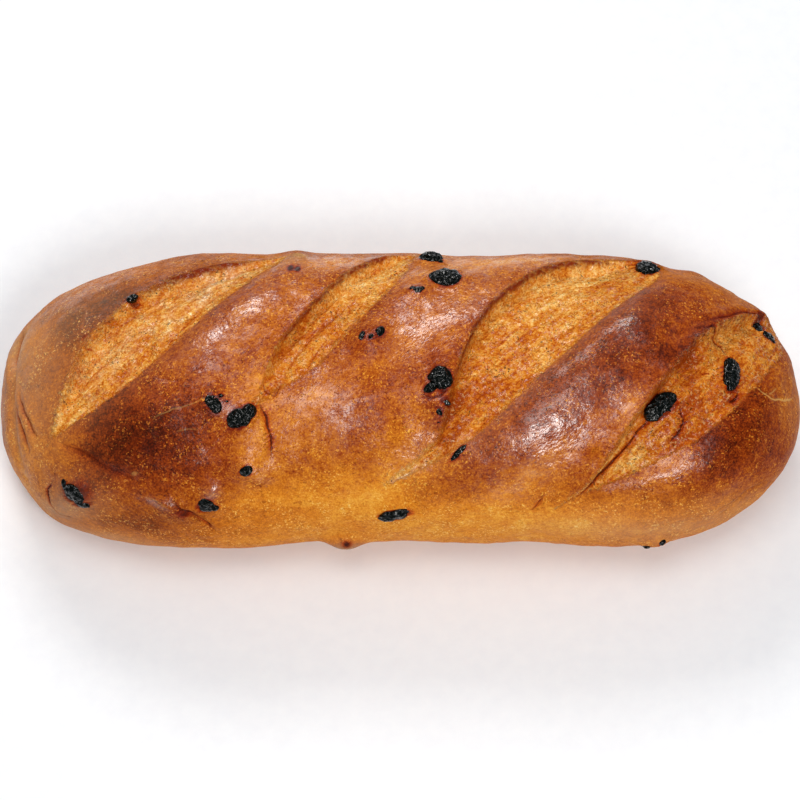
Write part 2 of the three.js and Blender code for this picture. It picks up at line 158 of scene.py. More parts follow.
# Fine form that only the crust's fine mesh carries: swellings of the skin as middle, half sizes, turn, height
SWELLINGS = [
    ((-50, -30), (7.5, 11), -20, 1.5),  # the disc beside the end of the second slash
    ((-46, -41.6), (4.2, 3.4), 20, 2.0),
    ((-41.5, -12.5), (3.4, 3.2), 0, 0.9),
    ((-66, -4), (7, 4), 20, 0.5),
    ((-62, -46), (3.0, 3.6), 30, 1.6),
    ((-78.5, -49.5), (6, 2.6), -18, 0.9),
    ((-115, -50), (6, 7), 30, 0.9),
    ((-94, 26.6), (6, 4), 25, 1.1),
    ((-144, 4), (3, 9), 8, 1.6),  # the lip of the tuck
    ((-9, -1.5), (7, 5), 30, 0.8),
    ((12, -19), (5, 5), 20, 1.3),
    ((94, -20), (5.5, 8), -30, 1.1),
    ((106.5, 4.5), (5.5, 4.5), 12, 2.4),
    ((123, -4), (6, 7), 40, 0.8),
    ((131, 14), (8, 6), 0, 0.8),
    ((86, 2), (6, 3), -30, 0.6),
    ((40, -2), (9, 4), 45, 0.5),
    ((22, 8), (7, 5), 30, 0.5),
    ((66, -30), (12, 4), 45, 0.5),
    ((88.5, -75), (6, 5), 0, 1.4),
    ((-34.6, 37.5), (4.4, 4.2), 0, 2.4),
    ((-18, -87), (6, 4.5), 0, 1.5),
]

# Creases and cracks: the line, its half width, its depth, the lip on its left (below 0: on its right), and how
# much it darkens (above 0) or pales (below 0) the crust; the darkening is painted shade in the groove and its line
CREASES = [
    ([(-137, 22), (-140, 7), (-139, -2), (-137, -9), (-133, -16), (-129.8, -22.4), (-127.9, -27.2)], 1.0, 1.2, 0.7, 0.6),
    ([(-133.9, -6), (-131.5, -12), (-126.4, -19.4), (-123.5, -22.5)], 0.8, 0.8, 0.5, 0.4),
    ([(-116, -25), (-110.5, -28.5), (-103, -32), (-99.7, -35.1), (-93.4, -37.9), (-86, -42)], 1.5, 0.8, 0.4, 0.35),
    ([(-117.5, -38.5), (-120.9, -42.8), (-120.1, -49.6), (-116.8, -56), (-112, -58.7)], 0.6, 1.0, 0.5, 1.1),
    ([(-83.4, -8.7), (-74.5, -10.5), (-65.9, -7.8), (-60.3, -8.1)], 0.9, 0.35, -0.2, 0.25),
    ([(-45.9, -17.8), (-43.6, -23.2), (-42.1, -28.4), (-42.5, -35.5)], 0.7, 1.0, -0.5, 0.8),
    ([(-52.5, -38.6), (-49.2, -43.4), (-45.5, -45.5), (-42.5, -42.6)], 0.8, 0.5, 0, 0.2),
    ([(-45.1, -11), (-44, -14.7), (-41, -15.8), (-38.4, -12.1)], 0.6, 0.6, 0, 0.35),
    ([(-17, 16), (-21, 11.3), (-28.8, 4.1), (-35.5, -3.9), (-40.3, -10.7)], 0.9, 0.9, 0.5, 0.12),
    ([(7.6, -15.3), (11, -17.2), (14.3, -16.6), (16.5, -14.7)], 0.6, 0.7, -0.4, 0.6),
    ([(61.1, 19.7), (55.5, 14.6), (51.1, 12.1), (43.3, 6.7), (38, 1)], 0.8, 0.8, 0.3, 0.12),
    ([(49.5, -48.5), (48.8, -50), (45.1, -56.3)], 0.8, 0.7, 0.3, 0.5),
    ([(86, -15), (85.6, -19.9), (81.1, -26.7), (73.3, -36.3), (67, -41.5), (60, -49.5)], 0.8, 1.2, -0.6, 0.7),
    ([(103, 8.6), (107.5, 10.4), (110.8, 8.6), (112.6, 6.4), (114, 3.5)], 0.7, 1.3, 0, 0.75),
    ([(110, 12), (113.8, 9.6), (116.6, 6.2)], 0.8, 1.2, 0.4, 0.2),
    ([(104, 11), (110, 14), (116, 18), (121, 21), (126.8, 23), (132, 24), (137, 22)], 0.9, 0.8, 0.4, 0.6),
    ([(117.9, -7.7), (117.5, -10.4), (113.8, -13)], 1.0, 1.4, 0, 0.8),
    ([(96, -16), (97.5, -21.2), (96, -24.5), (91.9, -28.9)], 0.8, 1.4, -0.6, 0.9),
    ([(124.5, -5), (127.5, -7), (131, -7.6), (134.2, -7.2), (145, -3.7), (151, -1)], 0.8, 0.3, 0, -0.32),
    ([(129, -7.4), (131.5, -5.4), (135.5, -2.6)], 0.8, 0.2, 0, -0.2),
    ([(111.2, -58), (115.3, -53), (119.8, -43.9), (124.6, -41), (133.1, -37)], 0.9, 0.5, 0.3, 0.2),
    ([(108, -56), (114, -50), (121, -44)], 0.8, 0.4, 0.2, 0.15),
    # A raised fold of skin whose pale streak is a painted highlight
    ([(-84.5, -46.8), (-80, -48.4), (-74, -51.4)], 0.9, -0.5, 0, -0.1),
    ([(-81.9, -22.3), (-78.5, -20.7), (-75.2, -19.4), (-71.1, -18.4), (-67, -17.6), (-62.9, -16)], 0.7, 0.2, 0, -0.1),
    ([(-74.1, -26.2), (-69.6, -25.2), (-65.9, -25.9)], 0.6, 0.2, 0, -0.07),
    ([(-72.2, -13.3), (-70.7, -11.4), (-68.1, -10)], 0.6, 0.2, 0, -0.07),
    ([(-75.3, -47.9), (-71.9, -52), (-69.3, -54), (-66.5, -57.5), (-64.4, -61), (-61.4, -67)], 0.7, 1.0, 0.6, 0.7),
    ([(5, -42.4), (7.2, -51), (9.1, -58.4)], 0.8, 0.5, 0.2, 0.12),
    ([(-20, 86), (-2, 90), (22, 87), (40, 90)], 1.0, 0.5, 0.3, 0.2),
    ([(118, 72), (128, 60), (134, 44)], 1.0, 0.6, 0.3, 0.3),
]
# Dark pores, painted shade in their holes, and raisin tips that only just show in their own dark: middle, half sizes,
# turn, strength
SPOTS = [
    ((-42.5, -19.8), (0.6, 0.5), 0, 0.9),
    ((-36.6, 29.8), (1.0, 2.0), 0, 1.7),
    ((-34.1, 29.4), (1.0, 1.8), 0, 1.7),
    # The top bump's pale translucent skin, with a painted highlight from the light behind
    ((-33.6, 38), (3.4, 3.4), 0, -0.5),
    ((-107.2, -43.8), (5.2, 4.2), -45, 0.85),
    ((-71.5, -54), (2.2, 1.8), 0, 0.9),
    ((106, -4.4), (0.9, 0.7), 0, 1.0),
    ((77.8, -9.6), (0.5, 0.5), 0, 0.8),
    ((9.5, 0.7), (0.5, 0.5), 0, 0.8),
    ((-105.3, 2.7), (0.5, 0.5), 0, 0.7),
    ((-98.6, 10.9), (0.6, 0.5), 0, 0.7),
    ((-90.4, 14.8), (0.6, 0.5), 0, 0.7),
    ((-106.4, 6.4), (1.4, 0.9), 40, 0.6),
    ((80.4, 3.5), (1.6, 0.4), -40, 0.8),
    ((82, 2.0), (1.4, 0.35), -40, 0.7),
    ((84.9, 1), (1.0, 0.3), -30, 0.5),
    ((-73, -52.6), (1.6, 1.0), 20, 0.75),
    ((-75.4, -53.5), (0.9, 0.7), 0, 0.6),
    ((-88.5, -19.5), (1.4, 0.7), 30, 0.4),
    ((-17.3, -81.5), (1.6, 2.2), 0, 1.1),
    ((16.4, -17.6), (2.0, 1.2), 30, 0.5),
    # A painted highlight on the glossy skin beside the fifth raisin
    ((-62.2, -46.9), (1.6, 1.4), 20, -0.36),
    ((-88, -38.5), (1.6, 1.2), 20, -0.45),
    ((-74, -39.9), (1.6, 1.4), 20, -0.25),
    ((-58.5, -19.2), (1.4, 1.4), 0, 0.4),
    ((-55.1, -20.3), (0.9, 1.6), 0, 0.5),
]
CREASE_FADE = 0.22  # the share of a crease's length over which its ends run out
LINE_REACH = 1.6  # how far from a crease its fine line is known
LINE_LIMIT = 3

# How the crust's skin and the slashes' floors are roughened: feature size, height
CRUST_ROLL = (11, 0.34)
CRUST_DIMPLE = (4.2, 0.09)
FLOOR_STRAND = ((9, 2.2, 1), 0.6)
FLOOR_GRAIN = (2.6, 0.4)
FLOOR_PORE = (1.9, 0.9)
EDGE_RAGGED = ((4, 0.55), (1.4, 0.28))

# How brown the crust is, from 0 pale to 1 darkest, before its patches
BAKE_CREST = 0.56
BAKE_SIDE = 0.42
BAKE_SKIRT = 0.38
SIDE_LEVEL = (-40, -58)
SKIRT_LEVEL = (-66, -84)
BACK_SIDE_LEVEL = (46, 66)
BACK_SKIRT_LEVEL = (72, 92)
BAKE_PILLOW = 0.035
BAKE_EDGE = (0.16, 5)
BAKE_EAR = (0.08, 3)

# Patches that baked darker (above 0) or stayed paler (below 0), and a few marked ones that are painted light
# or shade: middle, half sizes, turn, amount
PATCHES = [
    ((-84, -26), (26, 16), 10, 0.25),
    ((-88, -59), (16, 8), 0, 0.27),
    ((-110, -56), (14, 8), -30, 0.08),
    ((-66, -70), (16, 6), 0, 0.08),
    ((-112, -27), (6, 8), 0, -0.14),
    ((-100, 17), (20, 7), 30, 0.22),
    ((-48.5, -33), (7, 9), 0, -0.16),
    ((-45, -27), (2.8, 7), -15, -0.12),
    ((-48, -41), (5, 4), 0, -0.1),
    ((99, 1), (14, 5), 30, 0.2),
    ((-38, -58), (14, 5), 0, 0.14),
    ((-56, -76), (12, 8), 0, -0.1),
    ((46, -40), (14, 6), 40, -0.16),
    ((-50, 8), (24, 8), 42, -0.12),
    ((50, -27), (20, 8), 42, -0.12),
    ((16, 6), (12, 8), 20, -0.08),
    ((92, -36), (12, 5), 35, -0.12),
    ((-17, -26), (10, 8), 40, -0.06),
    ((-28, -16), (12, 6), 40, -0.1),
    ((0, -17), (6, 5), 0, -0.06),
    ((16, -34), (8, 5), 40, -0.05),
    ((1, -30), (8, 6), 40, -0.08),
    ((-10, -12), (9, 6), 40, -0.02),
    ((8, 28), (12, 6), 0, -0.08),
    ((77, -62), (16, 6), 0, -0.05),
    # The next three are a painted rim light, paler along the far top edge
    ((-23, 35), (16, 5), 0, -0.19),
    ((36, 37), (18, 5), 0, -0.2),
    ((60, 37), (12, 5), 0, -0.1),
    ((32, 18), (16, 6), 20, -0.1),
    ((6, 0), (12, 6), 20, -0.08),
    ((0, -28), (8, 8), 30, -0.06),
    ((-16, -42), (12, 6), 20, -0.1),
    ((116, -22), (10, 8), 30, -0.1),
    ((105, 30), (14, 6), 0, -0.06),
    ((70, -66), (30, 8), 0, -0.05),
    ((-104, -30), (16, 12), 0, 0.1),
    ((-60, -34), (16, 10), 0, 0.02),
    ((-92, -8), (20, 6), 40, 0.08),
    ((-132, -18), (14, 22), 0, -0.12),
    # A painted rim light on the upper left end
    ((-142, 14), (10, 12), 0, -0.12),
    ((-140, -40), (14, 14), 0, -0.14),
    ((-118, 14), (20, 8), 40, 0.02),
    ((-50, 6), (22, 8), 45, 0.06),
    ((-47, -14), (8, 6), 0, -0.16),
    ((-30, -12), (12, 8), 45, 0.04),
    ((-16, -28), (18, 10), 45, 0.06),
    ((-30, -52), (22, 8), 10, -0.08),
    ((2, -42), (20, 6), 30, -0.2),
    ((20, 10), (22, 8), 45, 0.03),
    ((28, -32), (8, 10), 0, 0.02),
    ((84, 8), (26, 9), 45, 0.05),
    ((72, -14), (9, 5), 42, 0.07),
    ((54, -22), (30, 9), 45, 0.13),
    ((38, -48), (16, 8), 0, 0.02),
    ((112, -24), (24, 10), 45, 0.22),
    ((134, -22), (14, 12), 0, 0.12),
    ((100, -44), (24, 8), 10, 0.0),
    ((134, 2), (8, 6), 0, -0.06),
    ((94, 34), (26, 8), 20, -0.05),
    ((30, 34), (26, 8), 20, -0.04),
    ((-66, 36), (30, 8), 20, -0.02),
    ((80, -72), (40, 10), 0, -0.04),
    ((20, -62), (46, 14), 0, -0.1),
    ((60, -62), (14, 6), 0, -0.05),
    ((-128, 9), (8, 8), 0, -0.16),
    ((-125, -25), (8, 7), 0, -0.1),
    # Painted shade on the underside of the bump low on the front
    ((-17.5, -86), (5, 5), 0, 0.24),
]

# How pale the floors of the slashes are, from 0 deep orange to 1 crumb, and patches of it
CRUMB_BASE = 0.32
CRUMB_ACROSS = -0.12
CRUMB_PATCHES = [
    ((-62, 28), (24, 8), 40, 0.26),
    ((99, -20), (18, 8), 45, -0.3),
    ((120, 5), (14, 9), 30, 0.08),
    ((18, -28), (8, 6), 40, -0.06),
    ((32, -14), (12, 7), 45, -0.1),
    ((82, -34), (8, 4), 45, 0.2),
    ((-96, 2), (20, 10), 40, 0.19),
    ((-116, -16), (8, 8), 40, 0.26),
    ((-12, 26), (18, 6), 45, 0.3),
    ((-32, -2), (18, 8), 45, -0.08),
    ((62, 30), (24, 9), 40, 0.24),
    ((-20, 12), (10, 8), 45, -0.1),
    ((36, -2), (18, 8), 45, -0.04),
    ((52, 12), (18, 10), 45, 0.09),
    ((16, -22), (14, 6), 45, -0.2),
    ((0, -40), (16, 6), 30, 0.28),
    ((106, 0), (14, 8), 45, 0.04),
    ((107, 7), (5, 3.4), 30, 0.02),
    ((100, -1), (7, 4), 45, -0.18),
    ((87, -11), (14, 3.5), 45, -0.3),
    ((99, 1), (4, 5), 45, -0.2),
    ((96, -22), (12, 6), 45, 0.14),
    ((106, -17), (8, 5), 45, 0.14),
    ((70, -40), (14, 5), 40, 0.1),
    ((128, 16), (12, 8), 0, 0.04),
]

# Where the crust is golden and not reddish: middle, half sizes, turn, amount
GOLD_FRONT = (38, 60, 0.6)
GOLD_BACK = (24, 38, 0.7)
GOLD_PATCHES = [
    ((-130, 0), (26, 44), 0, 0.9),
    ((-100, 22), (24, 14), 20, 0.6),
    ((-112, -50), (14, 12), 0, 0.4),
    ((-104, 2), (8, 6), 0, 0.4),
    ((100, -60), (40, 14), 0, 0.4),
    ((128, 30), (14, 12), 0, 0.3),
    ((-17.5, -86), (6, 5), 0, 0.9),
]

# Where a slash's floor is orange and not tan, and how tan each slash's right part is
RICH_BASE = 0.9
TAN_RIGHT = [0.0, 0.1, 0.6, 0.0]
RICH_PATCHES = [
    ((-62, 28), (26, 9), 40, -0.4),
    ((-100, -2), (20, 12), 40, -0.3),
    ((84, -32), (8, 5), 45, -0.1),
    ((20, -26), (16, 10), 40, 0.5),
    ((72, -42), (14, 6), 40, 0.45),
    ((112, 4), (24, 10), 45, 0.4),
    ((-118, -18), (8, 8), 0, 0.4),
]

# How glossy the crust is, from 0 to 1, and where the glaze lies thicker: middle, half sizes, turn, amount
GLOSS_CREST = 0.24
GLOSS_SIDE = 0.06
GLOSS_PATCHES = [
    ((36, 37), (26, 8), 0, 0.52),
    ((-23, 35), (22, 8), 0, 0.5),
    ((-107, 28), (16, 7), 15, 0.3),
    ((74, -17), (10, 5), 40, 0.7),
    ((46, -40), (12, 5), 40, 0.5),
    ((8, 28), (10, 6), 0, 0.3),
    ((30, 22), (12, 6), 30, 0.15),
    ((-22, -23), (10, 6), 40, 0.3),
    ((-52, 10), (24, 7), 42, 0.7),
    ((-66, -2), (7, 4), 20, 0.5),
    ((-98, -24), (16, 12), 10, -0.4),
    ((22, 14), (18, 8), 10, 0.6),
    ((5, 2), (10, 6), 20, 0.6),
    ((-29, -15), (9, 6), 40, 0.5),
    ((-17, -22), (10, 6), 60, 0.7),
    ((-2, -20), (6, 6), 0, -0.2),
    ((1, -29), (5, 5), 0, -0.4),
    ((65, -32), (7, 4), 30, -0.35),
    ((17, -28), (5, 4), 40, -0.4),
    ((105, 30), (20, 10), 0, -0.3),
    ((90, 5), (12, 8), 40, 0.12),
    ((8, -31), (10, 4.5), 40, 0.9),
    ((50, -27), (22, 9), 42, 0.9),
    ((66, -14), (12, 4), 42, 0.5),
    ((84, -2), (9, 4), 40, -0.15),
    ((76, 4), (8, 4), 40, 0.4),
    ((116, -24), (10, 8), 30, -0.3),
    ((92, -36), (14, 5), 35, 0.5),
    ((-45, -27), (4, 7), -15, -0.15),
    ((-45.6, -40), (3, 2.2), 0, 1.2),
    ((-10.6, -11), (9, 6), 40, -0.35),
    ((-81, -48.5), (5, 1.4), -18, 1.0),
    ((-106.4, -41.6), (3, 1.6), -50, 0.6),
    ((-62.5, -46), (2.6, 2.2), 0, 1.2),
    ((-98, 15), (14, 5), 30, 0.2),
    ((-72, -30), (12, 9), 0, -0.14),
    ((-66, -34), (2.6, 2), 40, 0.5),
    ((-57, -19), (3, 2.4), 0, 0.8),
    ((46, -18.5), (11, 3), 42, -0.3),
    ((104, -40), (14, 5), 35, -0.15),
]

# Where the crust greys to a pale tan: painted sheen of grazing light on the left end, upper left shoulder, low
# right side and top bump, and the khaki skin over a raisin low on the front: middle, half sizes, turn, amount
SHEEN_AND_GREY_PATCHES = [
    ((-132, 0), (20, 34), 0, 0.34),
    ((-140, 14), (10, 12), 0, 0.3),
    ((-116, -54), (14, 10), 30, 0.5),
    ((-17.5, -86.5), (5.5, 5), 0, 0.8),
    ((-100, 20), (18, 8), 25, 0.15),
    ((86, -66), (34, 10), 0, 0.32),
    ((118, -52), (16, 10), 20, 0.15),
    ((-35, 36), (4, 4), 0, 0.5),
    ((-102, -76), (26, 8), -15, 0.35),
]

# The mesh of the crust
RINGS_LEFT = 62
RINGS_BETWEEN = 34
RINGS_RIGHT = 52
RING_STEPS = (6, 2, 4, 8, 8, 5, 4)  # rings between the knots that follow a slash
RING_GAP = 1.6
TOP_COLUMNS = 224
BELLY_COLUMNS = 38
TOP_SPAN = 112
LEAN_SPAN = 75
LEAN = 0.9
LEAN_FADE = 2.4


def smoothstep(value, low, high):
    share = np.clip((value - low) / (high - low), 0, 1)
    return share * share * (3 - 2 * share)


def lattice_random(x, y, z, seed):
    """A repeatable random number from 0 to 1 for each lattice point."""
    mixed = x * 374761393 + y * 668265263 + z * 1274126177 + seed * 974634777
    mixed = (mixed ^ (mixed >> 13)) * 1103515245
    mixed = (mixed ^ (mixed >> 16)) * 668265263
    mixed = mixed ^ (mixed >> 15)
    return (mixed & 0xFFFFFF) / 0xFFFFFF


def noise(points, size, seed):
    """Smooth gradient noise, about -1 to 1, with features of about that size."""
    scaled = points / np.asarray(size, float)
    cell = np.floor(scaled).astype(np.int64)
    inside = scaled - cell
    ease = inside**3 * (inside * (inside * 6 - 15) + 10)
    total = np.zeros(scaled.shape[:-1])
    for corner in range(8):
        step = np.array([corner & 1, corner >> 1 & 1, corner >> 2 & 1])
        at = cell + step
        height = 2 * lattice_random(at[..., 0], at[..., 1], at[..., 2], seed) - 1
        turn = 2 * math.pi * lattice_random(at[..., 0], at[..., 1], at[..., 2], seed + 7919)
        flat = np.sqrt(np.maximum(0, 1 - height**2))
        gradient = np.stack([flat * np.cos(turn), flat * np.sin(turn), height], -1)
        weight = np.prod(np.where(step == 1, ease, 1 - ease), -1)
        total += weight * np.sum(gradient * (inside - step), -1)
    return total * 1.6


def layered(points, size, layers, seed):
    """Noise with finer noise on it, each layer half the size and half the height."""
    size = np.asarray(size, float)
    return sum(noise(points, size / 2**i, seed + i) / 2**i for i in range(layers))


def taper(x):
    share = np.clip(np.abs(x) / (LENGTH / 2), 0, 1)
    power = np.where(x < 0, TAPER_POWER_LEFT, TAPER_POWER_RIGHT)
    roundness = np.where(x < 0, TAPER_ROUNDNESS_LEFT, TAPER_ROUNDNESS_RIGHT)
    return (1 - share**power) ** (1 / roundness)


def widest_level(x):
    share = np.clip(np.abs(x) / (LENGTH / 2), 0, 1)
    tip = np.where(x < 0, WIDEST_LEVEL_LEFT, WIDEST_LEVEL_RIGHT)
    return WIDEST_LEVEL + (tip - WIDEST_LEVEL) * share**3


def body_point(x, angle):
    sine, cosine = np.sin(angle), np.cos(angle)
    power = np.where(cosine > 0, SECTION_POWER_TOP, SECTION_POWER_BELLY)
    reach = (np.abs(sine) ** power + np.abs(cosine) ** power) ** (-1 / power)
    half = np.where(cosine > 0, TOP_LEVEL - WIDEST_LEVEL, BELLY_DEPTH)
    narrow = taper(x)
    shift = TIP_SHIFT_RIGHT * np.clip(x / (LENGTH / 2), 0, 1) ** 3
    y = WIDTH / 2 * narrow * reach * sine + shift
    z = widest_level(x) + half * narrow * reach * cosine
    return np.stack(np.broadcast_arrays(x, y, z), -1)


def body_normal(x, angle, step=0.01):
    inward = np.where(x < 0, 1, -1) * np.minimum(1, LENGTH / 2 - np.abs(x) + step)
    lengthwise = (body_point(x + inward, angle) - body_point(x, angle)) * np.sign(inward)[..., None]
    roundwise = body_point(x, angle + step) - body_point(x, angle - step)
    normal = np.cross(lengthwise, roundwise)
    return normal / np.maximum(np.linalg.norm(normal, axis=-1, keepdims=True), 1e-9)


def side_profile(samples=4000):
    xs = -LENGTH / 2 * np.cos(np.linspace(0, math.pi, samples + 1))
    steps = np.hypot(np.diff(xs), WIDTH / 2 * np.diff(taper(xs)))
    run = np.concatenate([[0], np.cumsum(steps)])
    return xs, run - run[-1] / 2


PROFILE_X, PROFILE_ALONG = side_profile()
SIDE = PROFILE_ALONG[-1]


def x_at(along):
    return np.interp(along, PROFILE_ALONG, PROFILE_X)


def around(along, angle):
    return GIRTH_RADIUS * taper(x_at(along)) * angle


def opening(share, side):
    width, start, full, shut = side
    rise = np.sin(math.pi / 2 * np.clip((share - start) / (full - start), 0, 1))
    fall = np.sin(math.pi / 2 * np.clip((1 - share) / (1 - shut), 0, 1))
    return width * rise * fall


class Crust:
    """The crust's places at a grid of (along, angle), with its relief and the values that colour it."""

    def __init__(self, along, angle):
        self.along, self.angle = np.broadcast_arrays(along, angle)
        self.x = x_at(self.along)
        self.around = around(self.along, self.angle)
        self.point = body_point(self.x, self.angle)
        self.normal = body_normal(self.x, self.angle)
        self.height = np.zeros(self.x.shape)
        self.inside = np.full(self.x.shape, -30.0)  # distance into the nearest slash, below 0 outside it
        self.cover = np.full(self.x.shape, -30.0)  # the same in widths of the edge's blur
        self.passed = np.zeros(self.x.shape)  # 0 at a slash's left edge and 1 at its right edge
        self.gloss = np.zeros(self.x.shape)
        self.sheen_and_grey = np.zeros(self.x.shape)
        self.gold = np.zeros(self.x.shape)  # 1 where the crust is golden, and 0 where it is reddish
        self.rich = np.zeros(self.x.shape)  # 1 where a slash's floor is orange, and 0 where it is tan
        self.grain = np.zeros(self.x.shape + (3,))  # along and across the nearest slash
        self.ragged = np.zeros(self.x.shape)  # how far a slash's edge has strayed outwards
        self.ear_shadow = np.zeros(self.x.shape)  # 1 in the painted shadow line under an ear
        self.dark = np.zeros(self.x.shape)
        self.pale = np.zeros(self.x.shape)
        self.crack = np.full(self.x.shape, float(LINE_LIMIT))  # distance from the nearest crease, below 0 on its right
        self.dark_line = np.zeros(self.x.shape)  # how dark that crease's fine line is, a painted shade line
        self.pale_line = np.zeros(self.x.shape)
        self.bake = np.zeros(self.x.shape)
        self.crumb = np.zeros(self.x.shape)

    def dome(self, at, half, turn):
        turn = math.radians(turn)
        off_along, off_around = self.along - at[0], self.around - at[1]
        lengthwise = off_along * math.cos(turn) + off_around * math.sin(turn)
        sideways = off_around * math.cos(turn) - off_along * math.sin(turn)
        return np.exp(-((lengthwise / half[0]) ** 2) - (sideways / half[1]) ** 2)

    def rings_out(self, at, half, turn):
        """How many times a raisin's own outline each place lies from its middle."""
        return np.sqrt(np.maximum(-np.log(np.maximum(self.dome(at, half, turn), 1e-12)), 0))

    def lump(self, along, angle, length, width, turn):
        at = (along, float(around(along, math.radians(angle))))
        return self.dome(at, (length / 2 + SWELL_REACH, width / 2 + SWELL_REACH), turn)

    def add_slash(self, slash, blur, ear_shadow_line, tan, edge_grey):
        near, far = np.array(slash["near"], float), np.array(slash["far"], float)
        length = np.linalg.norm(far - near)
        cut = (far - near) / length
        from_along, from_around = self.along - near[0], self.around - near[1]
        share = (from_along * cut[0] + from_around * cut[1]) / length
        across = from_along * cut[1] - from_around * cut[0]
        left, right = opening(share, slash["left"]), opening(share, slash["right"])
        width = left + right
        full = np.minimum(1, width / FULL_DEPTH_OPENING)
        full = full * np.clip(np.minimum(share, 1 - share) / END_FADE, 0, 1)
        inside, ahead = across + left + self.ragged, right - across + self.ragged
        cliff = smoothstep(inside, 0, CLIFF_RUN)
        shoulder = smoothstep(ahead, -SHOULDER_RUN, SHOULDER_RUN / 2)
        passed = np.clip(inside / np.maximum(width, 1), 0, 1)
        floor = slash["depth"] * full * (1 - FLOOR_RISE * passed)
        bulge = FLOOR_BULGE * full * np.sin(math.pi * passed)
        ear = EAR_HEIGHT * full * np.where(inside <= 0, np.exp(np.minimum(inside, 0) / EAR_REACH), 1 - cliff)
        height = ear + (bulge - floor) * cliff * shoulder
        here = (share > 0) & (share < 1)
        self.height += np.where(here, height, 0)
        beyond = np.maximum(-share, share - 1) * length
        depth_in = np.where(here, np.minimum(inside, ahead), np.minimum(-beyond, -np.abs(across)))
        left_blur = blur[0] + (blur[1] - blur[0]) * share
        right_blur = blur[2] + (blur[3] - blur[2]) * share
        cover = np.where(here, np.minimum(inside / left_blur, ahead / right_blur), depth_in)
        self.cover = np.maximum(self.cover, cover)
        self.rich = np.where(here, RICH_BASE - tan * smoothstep(passed, 0.4, 0.62), self.rich)
        self.passed = np.where(here, passed, self.passed)
        nearer = depth_in > self.inside
        self.inside = np.where(nearer, depth_in, self.inside)
        grain = np.stack([share * length, across, np.full(share.shape, near[0])], -1)
        self.grain = np.where(nearer[..., None], grain, self.grain)
        # The painted shadow line just inside a slash's upper edge, under its ear
        start, strength = ear_shadow_line
        upper = smoothstep(share, start - 0.15, start + 0.15) * full
        ear_shadow = np.where(here, np.exp(-(((inside - 0.4) / 0.6) ** 2)) * upper * strength, 0)
        self.ear_shadow = np.maximum(self.ear_shadow, ear_shadow)
        amount, reach = BAKE_EDGE
        beside = np.where(here & (ahead < 0), full * np.exp(ahead / reach), 0)
        self.bake += amount * beside
        self.sheen_and_grey += edge_grey * beside
        amount, reach = BAKE_EAR
        self.bake += np.where(here & (inside < 0), amount * upper * np.exp(inside / reach), 0)

    def add_form(self):
        for looks in zip(SLASHES, EDGE_BLUR, EAR_SHADOW_LINE, TAN_RIGHT, EDGE_GREY):
            self.add_slash(*looks)
        for at, half, height, lean in PILLOWS:
            self.height += height * self.dome(at, half, lean)
        for along, angle, length, width, turn, _, swell in RAISINS:
            self.height += swell * self.lump(along, angle, length, width, turn)
        for along, angle, length, width, turn, height in HIDDEN_BUMPS:
            self.height += height * self.lump(along, angle, length, width, turn)
        turn = (self.angle - math.radians(TUCK["angle"])) / math.radians(TUCK["spread"])
        off = (self.along - TUCK["along"] - TUCK["bend"] * turn**2) / TUCK["width"]
        self.height -= TUCK["depth"] * np.exp(-(off**2) - turn**4)
        for height, waves, phase in WAVES:
            self.height += height * np.sin(self.point @ np.array(waves) + phase)
        for at, half, turn, height in SWELLINGS:
            self.height += height * self.dome(at, half, turn)

    def line(self, corners):
        """How far each place is from a line, how far along it the nearest part is (0 to 1), and the side."""
        corners = np.array(corners, float)
        steps = np.linalg.norm(np.diff(corners, axis=0), axis=1)
        best = np.full(self.x.shape, np.inf)
        share, side = np.zeros(self.x.shape), np.ones(self.x.shape)
        run = 0
        for corner, following, step in zip(corners, corners[1:], steps):
            cut = (following - corner) / step
            off = np.stack([self.along - corner[0], self.around - corner[1]], -1)
            passed = np.clip(off @ cut, 0, step)
            distance = np.linalg.norm(off - passed[..., None] * cut, axis=-1)
            nearer = distance < best
            best = np.where(nearer, distance, best)
            share = np.where(nearer, (run + passed) / steps.sum(), share)
            side = np.where(nearer, np.sign(cut[0] * off[..., 1] - cut[1] * off[..., 0]), side)
            run += step
        return best, share, side

    def add_creases(self):
        wander = noise(self.point, 5, 61) * 0.7
        for corners, half, depth, lip, dark in CREASES:
            distance, share, side = self.line(corners)
            signed = distance * side + wander
            distance = np.abs(signed)
            ends = np.clip(np.minimum(share, 1 - share) / CREASE_FADE, 0, 1) ** 0.6
            groove = np.exp(-((distance / half) ** 2)) * ends
            line = np.exp(-((distance / LINE_REACH) ** 2)) * ends
            nearer = line * abs(dark) > np.maximum(self.dark_line, self.pale_line)
            self.crack = np.where(nearer & (distance < LINE_LIMIT), signed, self.crack)
            self.dark_line = np.maximum(self.dark_line, dark * line)
            self.pale_line = np.maximum(self.pale_line, -dark * line)
            self.height -= depth * groove
            beside = np.exp(-(((distance - 2.2 * half) / (1.6 * half)) ** 2)) * ends
            self.height += abs(lip) * np.where(side * lip > 0, beside, 0)
            self.dark = np.maximum(self.dark, dark * groove)
            self.pale = np.maximum(self.pale, -dark * groove)
        for at, half, turn, dark in SPOTS:
            self.dark = np.maximum(self.dark, dark * self.dome(at, half, turn))
            self.pale = np.maximum(self.pale, -dark * self.dome(at, half, turn))
        # Round each raisin: a raised rim of crust, and painted shade in the crevice where the raisin sinks in
        for number, raisin in enumerate(RAISINS, 1):
            for at, half, turn in raisin_outlines(number, raisin):
                ring = self.rings_out(at, half, turn) + noise(self.point, 2.4, 71) * 0.2
                self.height += RIM_HEIGHT * np.exp(-(((ring - 1.2) / 0.16) ** 2))
                self.dark = np.maximum(self.dark, RIM_SHADE * np.exp(-((np.maximum(ring - 0.9, 0) / 0.14) ** 2)))

